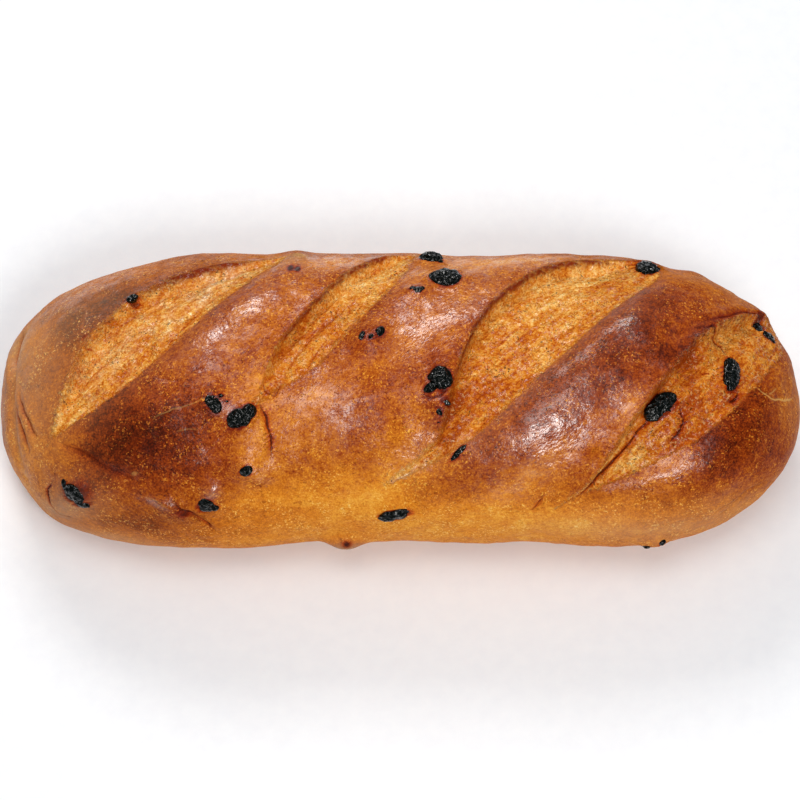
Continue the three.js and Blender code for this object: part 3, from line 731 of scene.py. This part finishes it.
    def add_fine_form(self):
        self.add_creases()
        floor = smoothstep(self.inside, 0.2, 2)
        size, height = CRUST_ROLL
        self.height += height * layered(self.point, size, 3, 11) * (1 - floor / 2)
        size, height = CRUST_DIMPLE
        self.height += height * noise(self.point, size, 17) * (1 - floor)
        size, height = FLOOR_STRAND
        self.height += height * layered(self.grain, size, 2, 23) * floor
        size, height = FLOOR_GRAIN
        self.height += height * layered(self.point, size, 2, 29) * floor
        size, height = FLOOR_PORE
        self.height -= height * np.clip(noise(self.point, size, 31) - 0.35, 0, 0.5) * floor

    def add_bake(self):
        """How brown the crust is and how pale the slashes' floors are."""
        side = smoothstep(-self.around, -SIDE_LEVEL[0], -SIDE_LEVEL[1])
        side += smoothstep(self.around, *BACK_SIDE_LEVEL)
        skirt = smoothstep(-self.around, -SKIRT_LEVEL[0], -SKIRT_LEVEL[1])
        skirt += smoothstep(self.around, *BACK_SKIRT_LEVEL)
        self.bake += BAKE_CREST + (BAKE_SIDE - BAKE_CREST) * side + (BAKE_SKIRT - BAKE_SIDE) * skirt
        for at, half, turn, amount in PATCHES:
            self.bake += amount * self.dome(at, half, turn)
        self.bake += BAKE_PILLOW * np.clip(self.height, -2, 4)
        self.bake += 0.05 * layered(self.point, 26, 2, 41) + 0.035 * layered(self.point, 7, 2, 43)
        side = smoothstep(np.abs(self.around), 34, 56)
        self.gloss += GLOSS_CREST + (GLOSS_SIDE - GLOSS_CREST) * side
        for at, half, turn, amount in GLOSS_PATCHES:
            self.gloss += amount * self.dome(at, half, turn)
        self.gloss *= 1 - np.where(self.along < 0, 0.2, 0.85) * smoothstep(np.abs(self.along), 104, 126)
        low, high, amount = GOLD_FRONT
        self.gold += amount * smoothstep(-self.around, low, high)
        low, high, amount = GOLD_BACK
        self.gold += amount * smoothstep(self.around, low, high)
        for at, half, turn, amount in GOLD_PATCHES:
            self.gold += amount * self.dome(at, half, turn)
        for at, half, turn, amount in RICH_PATCHES:
            self.rich += amount * self.dome(at, half, turn)
        for at, half, turn, amount in SHEEN_AND_GREY_PATCHES:
            self.sheen_and_grey += amount * self.dome(at, half, turn)
        self.crumb += CRUMB_BASE + CRUMB_ACROSS * (self.passed - 0.5)
        for at, half, turn, amount in CRUMB_PATCHES:
            self.crumb += amount * self.dome(at, half, turn)

    def surface(self):
        fade = np.minimum(1, taper(self.x) * 3)
        points = self.point + self.normal * (self.height * fade)[..., None]
        points[..., 2] = np.maximum(points[..., 2], 0)
        return points


def ring_knots(slash, share):
    """Across a slash, the distances from the cut at which rings follow it."""
    start, end = -opening(share, slash["left"]), opening(share, slash["right"])
    knots = [start - EAR_REACH, start - RING_GAP, start, start + CLIFF_RUN, (start + end) / 2]
    knots += [end - SHOULDER_RUN / 2, end + SHOULDER_RUN / 4, end + SHOULDER_RUN]
    for i in range(4, len(knots)):
        knots[i] = np.maximum(knots[i], knots[i - 1] + RING_GAP)
    return knots


def leaned(along, turn):
    return along + LEAN * GIRTH_RADIUS * turn * (1 - np.abs(along / SIDE) ** LEAN_FADE)


def knot_places(slash, angles, samples=96):
    """Where the rings that follow a slash cross each angle: past the slash's ends they lean on."""
    near, far = np.array(slash["near"], float), np.array(slash["far"], float)
    cut = far - near
    aside = np.array([cut[1], -cut[0]]) / np.linalg.norm(cut)
    share = np.linspace(0, 1, samples + 1)
    most = math.radians(LEAN_SPAN)
    places = []
    for offset in ring_knots(slash, share):
        along = near[0] + cut[0] * share + aside[0] * offset
        angle = (near[1] + cut[1] * share + aside[1] * offset) / around(along, 1)
        angle = np.maximum.accumulate(angle)
        at = np.interp(np.clip(angles, -most, most), angle, along)
        at = np.where(angles < angle[0], leaned(along[0], np.maximum(angles, -most) - angle[0]), at)
        at = np.where(angles > angle[-1], leaned(along[-1], np.minimum(angles, most) - angle[-1]), at)
        low = leaned(along[0], -most - angle[0]) if angle[0] > -most else np.interp(-most, angle, along)
        high = leaned(along[-1], most - angle[-1]) if angle[-1] < most else np.interp(most, angle, along)
        back = np.clip((np.abs(angles) - most) / (math.pi - most), 0, 1)
        places.append(at + ((low + high) / 2 - at) * back)
    return places


def ring_places(angles):
    """Every ring's place along the loaf, at each angle."""
    rows = []
    last = np.full(angles.shape, -SIDE)
    for index, slash in enumerate(SLASHES):
        knots = knot_places(slash, angles)
        count = RINGS_BETWEEN if index else RINGS_LEFT
        rows += [last + (knots[0] - last) * i / (count + 1) for i in range(1, count + 1)]
        for knot, following, steps in zip(knots, knots[1:], RING_STEPS):
            rows += [knot + (following - knot) * i / steps for i in range(steps)]
        rows.append(knots[-1])
        last = knots[-1]
    rows += [last + (SIDE - last) * i / (RINGS_RIGHT + 1) for i in range(1, RINGS_RIGHT + 1)]
    return np.array(rows)


def column_angles():
    top = -TOP_SPAN + 2 * TOP_SPAN * np.arange(TOP_COLUMNS) / TOP_COLUMNS
    belly = TOP_SPAN + (360 - 2 * TOP_SPAN) * np.arange(BELLY_COLUMNS) / BELLY_COLUMNS
    angles = np.radians(np.concatenate([top, belly]))
    return np.where(angles > math.pi, angles - 2 * math.pi, angles)


def new_piece(name, points, faces, material):
    """A smooth mesh piece from points in millimetres, riding on the loaf's one body."""
    mesh = bpy.data.meshes.new(name)
    mesh.from_pydata((np.asarray(points) * MM).tolist(), [], faces)
    mesh.shade_smooth()
    mesh.materials.append(material)
    piece = bpy.data.objects.new(name, mesh)
    bpy.context.scene.collection.objects.link(piece)
    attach(piece, "root")
    return piece


def set_values(piece, name, values, kind="FLOAT"):
    layer = piece.data.attributes.new(name, kind, "POINT")
    layer.data.foreach_set("vector" if kind == "FLOAT_VECTOR" else "value", np.asarray(values, np.float32).ravel())


def grid_faces(rings, columns):
    """Quads between the rings, and triangles to the two tips, which are the first and the last point."""
    ring, column = np.meshgrid(np.arange(rings - 1), np.arange(columns), indexing="ij")
    following = (column + 1) % columns
    a, b = 1 + ring * columns + column, 1 + ring * columns + following
    quads = np.stack([a, a + columns, b + columns, b], -1).reshape(-1, 4).tolist()
    last = rings * columns + 1
    top = last - columns
    tips = [[0, 1 + i, 1 + (i + 1) % columns] for i in range(columns)]
    tips += [[last, top + (i + 1) % columns, top + i] for i in range(columns)]
    return quads + tips


def with_tips(values, first, final):
    return np.concatenate([[first], values.reshape((-1,) + values.shape[2:]), [final]])


def make_loaf(material):
    angles = column_angles()
    along = ring_places(angles)
    crust = Crust(along, angles[None, :])
    size, height = EDGE_RAGGED[0]
    crust.ragged = height * noise(crust.point, size, 51)
    size, height = EDGE_RAGGED[1]
    crust.ragged += height * noise(crust.point, size, 53)
    crust.add_form()
    crust.add_bake()
    crust.add_fine_form()
    points = crust.surface()
    left_tip, right_tip = body_point(np.array([-LENGTH / 2, LENGTH / 2]), np.zeros(2))
    faces = grid_faces(*along.shape)
    piece = new_piece("crust", with_tips(points, left_tip, right_tip), faces, material)
    names = ("bake", "crumb", "ear_shadow", "dark", "pale", "cover", "gloss", "sheen_and_grey", "gold", "rich")
    for name in names + ("crack", "dark_line", "pale_line"):
        values = getattr(crust, name)
        set_values(piece, name, with_tips(values, values[0].mean(), values[-1].mean()))
    set_values(piece, "grain", with_tips(crust.grain, [0, 0, 0], [0, 0, 0]), "FLOAT_VECTOR")
    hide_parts("loaf")
    return piece


def linear(red, green, blue):
    """A colour from its sRGB values of 0 to 255."""
    shares = [value / 255 for value in (red, green, blue)]
    return (*[share / 12.92 if share < 0.04045 else ((share + 0.055) / 1.055) ** 2.4 for share in shares], 1)


class Material:
    """A material under construction: each method adds a node and returns its output."""

    def __init__(self, name):
        self.data = bpy.data.materials.new(name)
        self.data.use_nodes = True
        self.tree = self.data.node_tree
        self.shader = self.tree.nodes["Principled BSDF"]
        self.place = self.node("ShaderNodeTexCoord").outputs["Object"]

    def put(self, socket, value):
        if isinstance(value, bpy.types.NodeSocket):
            self.tree.links.new(value, socket)
        else:
            socket.default_value = value

    def node(self, kind, inputs=None, **settings):
        node = self.tree.nodes.new(kind)
        for name, value in settings.items():
            setattr(node, name, value)
        for key, value in (inputs or {}).items():
            self.put(node.inputs[key], value)
        return node

    def value(self, name):
        return self.node("ShaderNodeAttribute", attribute_name=name).outputs["Fac"]

    def vector(self, name):
        return self.node("ShaderNodeAttribute", attribute_name=name).outputs["Vector"]

    def math(self, operation, a, b=0.0):
        return self.node("ShaderNodeMath", {0: a, 1: b}, operation=operation).outputs[0]

    def add(self, a, b):
        return self.math("ADD", a, b)

    def times(self, a, b):
        return self.math("MULTIPLY", a, b)

    def noise(self, size, detail=2, rough=0.5, twist=0.0, at=None, stretch=None):
        """Noise from 0 to 1, about 0.5, with features of about that size in millimetres."""
        place = at or self.place
        if stretch:
            place = self.node("ShaderNodeVectorMath", {0: place, 1: stretch}, operation="MULTIPLY").outputs[0]
        inputs = {"Vector": place, "Scale": (1 if at else 1000) / size, "Detail": detail}
        inputs.update({"Roughness": rough, "Distortion": twist})
        return self.node("ShaderNodeTexNoise", inputs).outputs["Fac"]

    def rise(self, value, low, high):
        """0 below low and 1 above high, or the other way round where low is the greater."""
        inputs = {"Value": value, "From Min": low, "From Max": high}
        return self.node("ShaderNodeMapRange", inputs, interpolation_type="SMOOTHSTEP").outputs[0]

    def mix(self, share, a, b, blend="MIX"):
        node = self.node("ShaderNodeMix", data_type="RGBA", blend_type=blend)
        for socket, value in ((0, share), (6, a), (7, b)):
            self.put(node.inputs[socket], value)
        return node.outputs[2]

    def blend(self, share, a, b):
        return self.node("ShaderNodeMix", {0: share, 2: a, 3: b}).outputs[0]

    def ramp(self, value, stops):
        node = self.node("ShaderNodeValToRGB", {"Fac": value})
        elements = node.color_ramp.elements
        while len(elements) < len(stops):
            elements.new(0.5)
        for element, (position, colour) in zip(elements, stops):
            element.position = position
            element.color = linear(*colour)
        return node.outputs["Color"]

    def bump(self, height, depth, below=None):
        """Relief whose height runs from 0 to depth in millimetres, on top of the relief below it."""
        inputs = {"Height": height, "Distance": depth * MM, "Strength": 1.0}
        node = self.node("ShaderNodeBump", inputs)
        if below:
            self.put(node.inputs["Normal"], below)
        return node.outputs["Normal"]


# Crust colours from the palest bake to the darkest, as sRGB
CRUST_TONES = [
    (0.0, (250, 196, 96)),
    (0.2, (242, 170, 60)),
    (0.38, (222, 135, 35)),
    (0.54, (190, 102, 23)),
    (0.7, (150, 60, 11)),
    (0.86, (98, 30, 6)),
    (1.0, (58, 16, 4)),
]
# The same where it is golden
GOLD_TONES = [
    (0.0, (250, 206, 116)),
    (0.2, (236, 160, 50)),
    (0.38, (214, 123, 26)),
    (0.54, (184, 98, 20)),
    (0.7, (146, 74, 18)),
    (0.86, (102, 48, 14)),
    (1.0, (66, 28, 10)),
]
# Colours of the slashes' floors where they are orange and where they are tan, from dark to pale
ORANGE_TONES = [
    (0.0, (156, 62, 8)),
    (0.22, (190, 94, 18)),
    (0.42, (212, 128, 36)),
    (0.62, (232, 162, 72)),
    (0.82, (246, 198, 114)),
    (1.0, (254, 226, 170)),
]
TAN_TONES = [
    (0.0, (166, 88, 44)),
    (0.22, (190, 112, 58)),
    (0.42, (210, 140, 82)),
    (0.62, (226, 168, 114)),
    (0.82, (240, 200, 156)),
    (1.0, (252, 228, 196)),
]
# The colour of the painted shadow under an ear
EAR_SHADOW_TONE = linear(130, 44, 12)
SHADE_TINT = linear(220, 150, 110)
# Painted shade in creases and pores, also the own dark of raisin tips and skin
CREASE_TONE = linear(66, 20, 8)
PALE_TONE = linear(238, 184, 100)
FLECK_TONE = linear(240, 170, 60)
GOLD_FLECK_TONE = linear(252, 214, 128)
# A pale greyish tan: painted sheen of grazing light, and in one place a raisin's khaki skin
SHEEN_AND_GREY_TONE = linear(186, 150, 116)
# Painted shade in the pores of the crumb
PORE_SHADE_TONE = linear(96, 30, 12)
VEIN_TONE = linear(160, 60, 10)
GLINT_TONE = linear(252, 206, 140)
BUMP_DEPTH = 0.34
LEATHER_TURN = 40
LEATHER_STRETCH = 1.6


def make_crust_material():
    m = Material("baked_crust")
    fray = m.add(m.noise(1.8, 4, 0.7), -0.5)
    floor = m.rise(m.add(m.value("cover"), m.times(fray, 2.8)), -0.35, 0.45)

    speck = m.add(m.noise(0.6, 1, 0.6), -0.5)
    blotch = m.add(m.noise(5, 3, 0.6), -0.5)
    mottle = m.add(m.noise(1.3, 3, 0.7), -0.5)
    tone = m.add(m.value("bake"), m.add(m.times(blotch, 0.34), m.times(mottle, 0.5)))
    thread = m.math("ABSOLUTE", m.add(m.noise(1.2, 2, 0.6, 0.8), -0.5))
    dash = m.times(m.rise(thread, 0.06, 0.015), m.rise(m.noise(1.1, 1, 0.5), 0.58, 0.68))
    dot = m.rise(m.noise(0.8, 1, 0.5), 0.63, 0.7)
    fleck = m.times(m.math("MAXIMUM", dash, dot), m.rise(m.noise(8, 2), 0.38, 0.64))
    tone = m.add(m.add(tone, m.times(speck, 0.4)), m.times(fleck, -0.3))
    gold = m.value("gold")
    crust = m.mix(gold, m.ramp(tone, CRUST_TONES), m.ramp(tone, GOLD_TONES))
    crust = m.mix(m.times(fleck, m.add(m.times(gold, 0.3), 0.2)), crust, m.mix(gold, FLECK_TONE, GOLD_FLECK_TONE))
    # Painted sheen of grazing light greys the crust towards a pale tan; low on the front it is a raisin's khaki skin
    crust = m.mix(m.times(m.value("sheen_and_grey"), m.add(m.noise(2.4, 3, 0.7), 0.5)), crust, SHEEN_AND_GREY_TONE)

    grain = m.vector("grain")
    strand = m.noise(2, 3, 0.6, 0.9, grain, (0.22, 0.9, 1.0))
    crumble = m.noise(1.2, 3, 0.7)
    clump = m.noise(5, 2, 0.6)
    pale = m.add(m.value("crumb"), m.times(m.add(strand, -0.5), 1.1))
    pale = m.add(pale, m.add(m.times(m.add(crumble, -0.5), 1.1), m.times(m.add(clump, -0.5), 0.8)))
    pale = m.add(pale, m.times(speck, 0.4))
    rich = m.add(m.value("rich"), m.times(m.add(m.noise(4, 3, 0.6), -0.5), 1.4))
    crumb = m.mix(m.rise(rich, 0.2, 0.8), m.ramp(pale, TAN_TONES), m.ramp(pale, ORANGE_TONES))
    vein = m.math("ABSOLUTE", m.add(m.noise(2.6, 2, 0.6, 0.6), -0.5))
    vein = m.times(m.rise(vein, 0.03, 0.006), m.rise(m.noise(5, 1), 0.48, 0.6))
    crumb = m.mix(m.times(vein, 0.4), crumb, VEIN_TONE)
    glint = m.times(m.rise(m.noise(1.0, 1, 0.5, 0.3), 0.52, 0.72), m.rise(m.noise(6, 2), 0.36, 0.62))
    crumb = m.mix(m.times(glint, 0.42), crumb, GLINT_TONE)
    # Pores: painted shade in the crumb's pits, which the relief also dips
    pore = m.times(m.rise(m.noise(1.2, 2, 0.6), 0.64, 0.69), m.rise(m.noise(6, 2), 0.42, 0.55))
    crumb = m.mix(m.times(pore, 0.85), crumb, PORE_SHADE_TONE)

    colour = m.mix(floor, crust, crumb)
    # Painted shadow: the dark line under each slash's ear
    colour = m.mix(m.rise(m.add(m.value("ear_shadow"), m.times(fray, 0.9)), 0.15, 0.75), colour, EAR_SHADOW_TONE)
    # dark: painted shade in creases, pores and the crevices round the raisins, and the own dark of raisin tips and of
    # the skin over a raisin
    dark = m.value("dark")
    colour = m.mix(m.rise(dark, 0, 0.6), colour, SHADE_TINT, "MULTIPLY")
    colour = m.mix(m.rise(dark, 0.4, 1), colour, CREASE_TONE)
    # pale: pale seams, crumb spots and translucent skin, and a few painted highlights on skin
    colour = m.mix(m.rise(m.add(m.value("pale"), m.times(fray, 0.4)), 0.15, 0.8), colour, PALE_TONE)
    # Fine lines along the creases: a painted shade line where a crease darkens, a pale line where it pales
    line = m.rise(m.add(m.math("ABSOLUTE", m.value("crack")), m.times(fray, 0.4)), 0.4, 0.08)
    colour = m.mix(m.times(line, m.times(m.value("dark_line"), 0.95)), colour, CREASE_TONE)
    colour = m.mix(m.times(line, m.times(m.value("pale_line"), 1.8)), colour, PALE_TONE)
    m.put(m.shader.inputs["Base Color"], colour)

    m.put(m.shader.inputs["Roughness"], m.blend(floor, 0.5, 0.65))
    m.shader.inputs["Specular IOR Level"].default_value = 0.03
    wet = m.times(m.rise(m.noise(1.6, 2), 0.46, 0.7), m.blend(m.rise(m.value("rich"), 1.0, 1.35), 0.9, 0.25))
    inputs = {"Vector": m.place, "Rotation": (0, 0, math.radians(LEATHER_TURN)), "Scale": (LEATHER_STRETCH, 1, 1)}
    lengthened = m.node("ShaderNodeMapping", inputs, vector_type="TEXTURE").outputs[0]
    leather = m.noise(0.0009, 1, 0.5, 0.5, lengthened)
    streak = m.noise(0.0034, 3, 0.6, 0.8, lengthened)
    glaze = m.times(m.value("gloss"), m.add(m.times(m.rise(streak, 0.36, 0.66), 1.2), 0.4))
    m.put(m.shader.inputs["Coat Weight"], m.blend(floor, glaze, wet))
    m.shader.inputs["Coat Roughness"].default_value = 0.25
    m.shader.inputs["Coat IOR"].default_value = 1.7
    broad = m.noise(4, 2, 0.5)
    relief = m.add(m.times(leather, m.blend(floor, 0.48, 0.3)), m.times(broad, 0.9))
    crumbs = m.add(m.times(m.noise(1.6, 1, 0.5, 0.5), 1.5), m.times(strand, 0.9))
    relief = m.add(relief, m.times(crumbs, floor))
    relief = m.add(relief, m.add(m.times(pore, -0.8), m.times(fleck, 0.12)))
    relief = m.add(relief, m.times(floor, m.add(m.times(glint, 0.3), m.times(vein, -0.5))))
    relief = m.add(relief, m.times(m.times(line, m.value("dark_line")), -1.0))
    bumped = m.bump(relief, BUMP_DEPTH)
    m.put(m.shader.inputs["Normal"], bumped)
    m.put(m.shader.inputs["Coat Normal"], bumped)
    return m.data


# What shows of the raisins: lobes as offset along and around, length, width, turn, proud, and how pointed
RAISIN_LOBES = {
    1: [(-0.4, -0.2, 4.6, 3.0, 28, 0.6, 1.2)],
    2: [(0.2, 0.2, 7.2, 5.0, -50, 0.9, 1.0), (2.2, 2.4, 3.0, 1.8, 20, 0.4, 1.2), (4.6, 0.8, 2.2, 1.4, -50, 0.4, 1.2)],
    3: [(-0.8, -0.6, 8.4, 6.8, 15, 1.5, 0.9), (2.4, 1.2, 6.4, 5.2, 50, 1.6, 0.9)],
    4: [(0, 0, 4.4, 3.8, 30, 0.6, 1.0)],
    5: [(-0.6, 0.6, 6.0, 6.0, -28, 1.1, 0.9), (1.8, -0.8, 3.8, 2.8, -10, 0.8, 1.1)],
    6: [(-4.4, 3.4, 5.4, 2.4, -72, 0.6, 1.1), (-0.8, 0.2, 8.4, 6.8, -48, 0.8, 0.9), (1.4, -4.4, 6.6, 3.4, -12, 0.8, 1.1)],
    7: [(-3.0, -0.2, 4.0, 2.5, 74, 0.6, 1.1), (0.1, -0.9, 2.6, 2.2, 40, 0.5, 1.0), (2.9, 1.1, 4.6, 3.4, 60, 0.8, 1.0)],
    8: [(-1.3, 0.6, 2.8, 2.6, -40, 0.5, 1.1), (0.2, -0.4, 3.6, 3.2, -15, 0.7, 1.1), (1.7, 0.4, 2.6, 2.2, 30, 0.5, 1.1)],
    9: [(0.3, 1.6, 8.6, 7.2, -14, 2.0, 1.2), (3.2, -1.2, 3.4, 2.6, -30, 0.9, 1.2)],
    10: [(0.4, -0.6, 11.8, 9.2, -12, 1.9, 1.25)],
    11: [(0.9, 0.7, 8.0, 8.6, 40, 1.7, 0.75), (-2.4, -2.0, 5.4, 3.4, 30, 1.0, 1.2)],
    12: [(1.2, 2.8, 4.2, 2.2, -25, 0.5, 1.5), (-0.8, 0.1, 3.4, 2.4, -50, 0.5, 1.4), (-1.0, -3.0, 2.0, 1.2, 0, 0.3, 1.0)],
    13: [(-0.2, -1.0, 8.4, 2.4, 46, 0.6, 1.6)],
    14: [(0.9, -0.3, 12.8, 5.6, 20, 1.4, 1.5)],
    15: [(0, -3.6, 8.8, 10.4, 0, 1.8, 0.8)],
    16: [(-2.9, 1.3, 7.4, 4.4, -52, 1.2, 1.0), (1.8, -4.0, 6.4, 4.2, -18, 1.0, 1.2)],
    17: [(0.3, 0, 12.4, 6.8, 85, 1.6, 0.8)],
    18: [(0.2, 0.2, 13.4, 7.8, 38, 1.7, 1.2)],
    19: [(-3.2, -1, 3, 2.4, 0, 1.0, 1.1), (1.8, 1.4, 3.4, 2.2, 30, 0.8, 1.1)],
    20: [(-1.4, 0.8, 6.0, 4.6, 40, 1.5, 0.9), (1.8, -0.8, 5.4, 4.8, -10, 1.6, 0.9)],
    21: [(0.4, 0, 9.6, 6.2, -35, 1.5, 1.2), (-3.4, 2.4, 3.2, 2.0, 10, 0.7, 1.1)],
    22: [(-1.6, -1.2, 4.0, 3.2, 60, 0.9, 1.1), (1.4, 1.2, 4.8, 3.4, 75, 1.0, 1.1)],
    24: [(0, 0, 7.2, 3.0, -50, 0.8, 1.5)],
    25: [(-0.8, -0.8, 7.4, 6.2, 40, 1.7, 0.9), (3.0, 1.6, 3.4, 3.0, 0, 1.0, 1.1)],
}
RAISIN_ROUND = 40
RAISIN_RINGS = 30
RAISIN_SINK = 0.4  # the widest part lies this far under the crust
RAISIN_OUTLINE = (4, 0.14)
RAISIN_FOLD = ((3.4, 1.9, 1.9), 0.4)
RAISIN_PUCKER = (1.2, 0.07)


def raisin_lobes(number, raisin):
    """The lobes of a raisin, each at its own (along, around)."""
    along, angle, length, width, turn, proud, _ = raisin
    around_at = float(around(along, math.radians(angle)))
    lobes = RAISIN_LOBES.get(number, [(0, 0, length * 0.9, width * 0.9, turn, proud, 1.1)])
    return [(along + off_along, around_at + off_around, *form) for off_along, off_around, *form in lobes]


def raisin_outlines(number, raisin):
    """Where the lobes meet the crust: middle, half sizes, turn."""
    lobes = raisin_lobes(number, raisin)
    return [((at_along, at_around), (length / 2, width / 2), turn) for at_along, at_around, length, width, turn, *_ in lobes]


def raisin_lobe(along, around_at, length, width, turn, proud, pointed, depth, seed):
    """The points and faces of one wrinkled lobe, sunk in the crust until only its proud part shows."""
    x = float(x_at(along))
    angle = around_at / (GIRTH_RADIUS * float(taper(x)))
    place = Crust(np.array([along]), np.array([angle]))
    place.add_form()
    normal = place.normal[0]
    lengthwise = np.array([1.0, 0, 0]) - normal * normal[0]
    lengthwise /= np.linalg.norm(lengthwise)
    sideways = np.cross(normal, lengthwise)
    turn = math.radians(turn)
    spun = lengthwise * math.cos(turn) + sideways * math.sin(turn)
    side = np.cross(normal, spun)
    centre = place.surface()[0] - normal * RAISIN_SINK
    polar = math.pi * np.arange(1, RAISIN_RINGS) / RAISIN_RINGS
    turns = 2 * math.pi * np.arange(RAISIN_ROUND) / RAISIN_ROUND
    polar, turns = np.meshgrid(polar, turns, indexing="ij")
    reach = np.sin(polar) ** pointed
    ball = np.stack([-np.cos(polar), reach * np.cos(turns), reach * np.sin(turns)], -1).reshape(-1, 3)
    ball = np.concatenate([[[-1, 0, 0]], ball, [[1, 0, 0]]])
    tall = np.where(ball[:, 2] > 0, proud + RAISIN_SINK, depth)
    local = ball * np.stack([np.full(tall.shape, length / 2), np.full(tall.shape, width / 2), tall], -1)
    size, fold = RAISIN_FOLD
    ridge = 1 - 2 * np.abs(noise(local + seed * 17.3, size, seed))
    size, pucker = RAISIN_PUCKER
    crown = np.clip(ball[:, 2], 0.1, 1)
    size, bend = RAISIN_OUTLINE
    grow = 1 + bend * noise(local + seed * 5.7, size, seed + 9) + crown * (fold * (ridge - 0.8) * min(1, width / 5) + pucker * noise(local + seed * 9.1, size, seed + 5))
    points = centre + (local * grow[:, None]) @ np.array([spun, side, normal])
    return points, grid_faces(RAISIN_RINGS - 1, RAISIN_ROUND)


def make_raisin(number, raisin, material):
    points, faces = [], []
    for index, lobe in enumerate(raisin_lobes(number, raisin)):
        depth = min(lobe[3] * RAISIN_THICKNESS, raisin[3] * RAISIN_THICKNESS) - lobe[5] / 2
        more, its_faces = raisin_lobe(*lobe, depth=max(depth, 1), seed=number * 7 + index)
        faces += [[corner + len(points) for corner in face] for face in its_faces]
        points += more.tolist()
    piece = new_piece(f"raisin_skin_{number:02d}", points, faces, material)
    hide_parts(f"raisin_{number:02d}")


def make_raisin_material():
    m = Material("raisin_skin")
    bloom = m.noise(2.4, 3, 0.6)
    colour = m.ramp(bloom, [(0.3, (3, 6, 4)), (0.55, (4, 8, 5)), (0.7, (8, 10, 6)), (0.9, (34, 16, 10))])
    m.put(m.shader.inputs["Base Color"], colour)
    m.put(m.shader.inputs["Roughness"], m.add(m.times(m.noise(1.6, 2), 0.1), 0.05))
    m.shader.inputs["Specular IOR Level"].default_value = 0.1
    pucker = m.noise(1.0, 0.5, 0.5, 0.4)
    m.put(m.shader.inputs["Coat Weight"], m.rise(pucker, 0.48, 0.62))
    m.shader.inputs["Coat Roughness"].default_value = 0.1
    bumped = m.bump(pucker, 0.55)
    m.put(m.shader.inputs["Normal"], bumped)
    m.put(m.shader.inputs["Coat Normal"], bumped)
    return m.data


def make_paper_material():
    m = Material("floor_paper")
    fibre = m.noise(6, 3, 0.6)
    m.put(m.shader.inputs["Base Color"], m.ramp(fibre, [(0.3, (246, 248, 251)), (0.7, (250, 252, 254))]))
    m.shader.inputs["Roughness"].default_value = 0.8
    m.shader.inputs["Specular IOR Level"].default_value = 0.2
    return m.data

WARM = (1, 0.97, 0.93)
SKY = (0.9, 1, 1.15, 1)


def make_camera():
    data = bpy.data.cameras.new("camera")
    camera = bpy.data.objects.new("camera", data)
    bpy.context.scene.collection.objects.link(camera)
    elevation = math.radians(CAMERA_ELEVATION)
    back = Vector((0, -math.cos(elevation), math.sin(elevation)))
    camera.location = (Vector(CAMERA_AIM) + back * CAMERA_DISTANCE) * MM
    camera.rotation_mode = "QUATERNION"
    camera.rotation_quaternion = (-back).to_track_quat("-Z", "Y")
    data.sensor_width = 36
    data.lens = CAMERA_LENS
    bpy.context.scene.camera = camera


def make_stage():
    bpy.ops.mesh.primitive_plane_add(size=6, location=(0, 0, 0))
    floor = bpy.context.object
    floor.name = "floor"
    floor.data.materials.append(make_paper_material())
    world = bpy.data.worlds.new("studio")
    bpy.context.scene.world = world
    world.use_nodes = True
    background = world.node_tree.nodes["Background"]
    background.inputs["Color"].default_value = SKY
    background.inputs["Strength"].default_value = 0.25


def make_softbox(name, aim, direction, distance, size, power, colour=(1, 1, 1)):
    """A large area light that looks at aim from a direction (azimuth from +X towards +Y, elevation)."""
    azimuth, elevation = (math.radians(value) for value in direction)
    flat = math.cos(elevation)
    towards = Vector((flat * math.cos(azimuth), flat * math.sin(azimuth), math.sin(elevation)))
    data = bpy.data.lights.new(name, "AREA")
    data.shape = "RECTANGLE"
    data.size, data.size_y = size
    data.energy = power
    data.color = colour
    lamp = bpy.data.objects.new(name, data)
    bpy.context.scene.collection.objects.link(lamp)
    lamp.location = Vector(aim) * MM + towards * distance
    lamp.rotation_mode = "QUATERNION"
    lamp.rotation_quaternion = (-towards).to_track_quat("-Z", "Y")


bpy.context.scene.view_settings.view_transform = "Standard"
make_camera()
make_stage()
make_softbox("back", (0, 0, 40), (106, 42), 1.2, (0.5, 0.3), 6, WARM)
make_softbox("front", (0, 0, 40), (290, 50), 1.2, (0.4, 0.3), 6.2, WARM)
make_softbox("top", (0, 0, 40), (230, 84), 1.2, (0.6, 0.6), 4.6, WARM)
make_loaf(make_crust_material())
raisin_material = make_raisin_material()
for number, raisin in enumerate(RAISINS, 1):
    make_raisin(number, raisin, raisin_material)
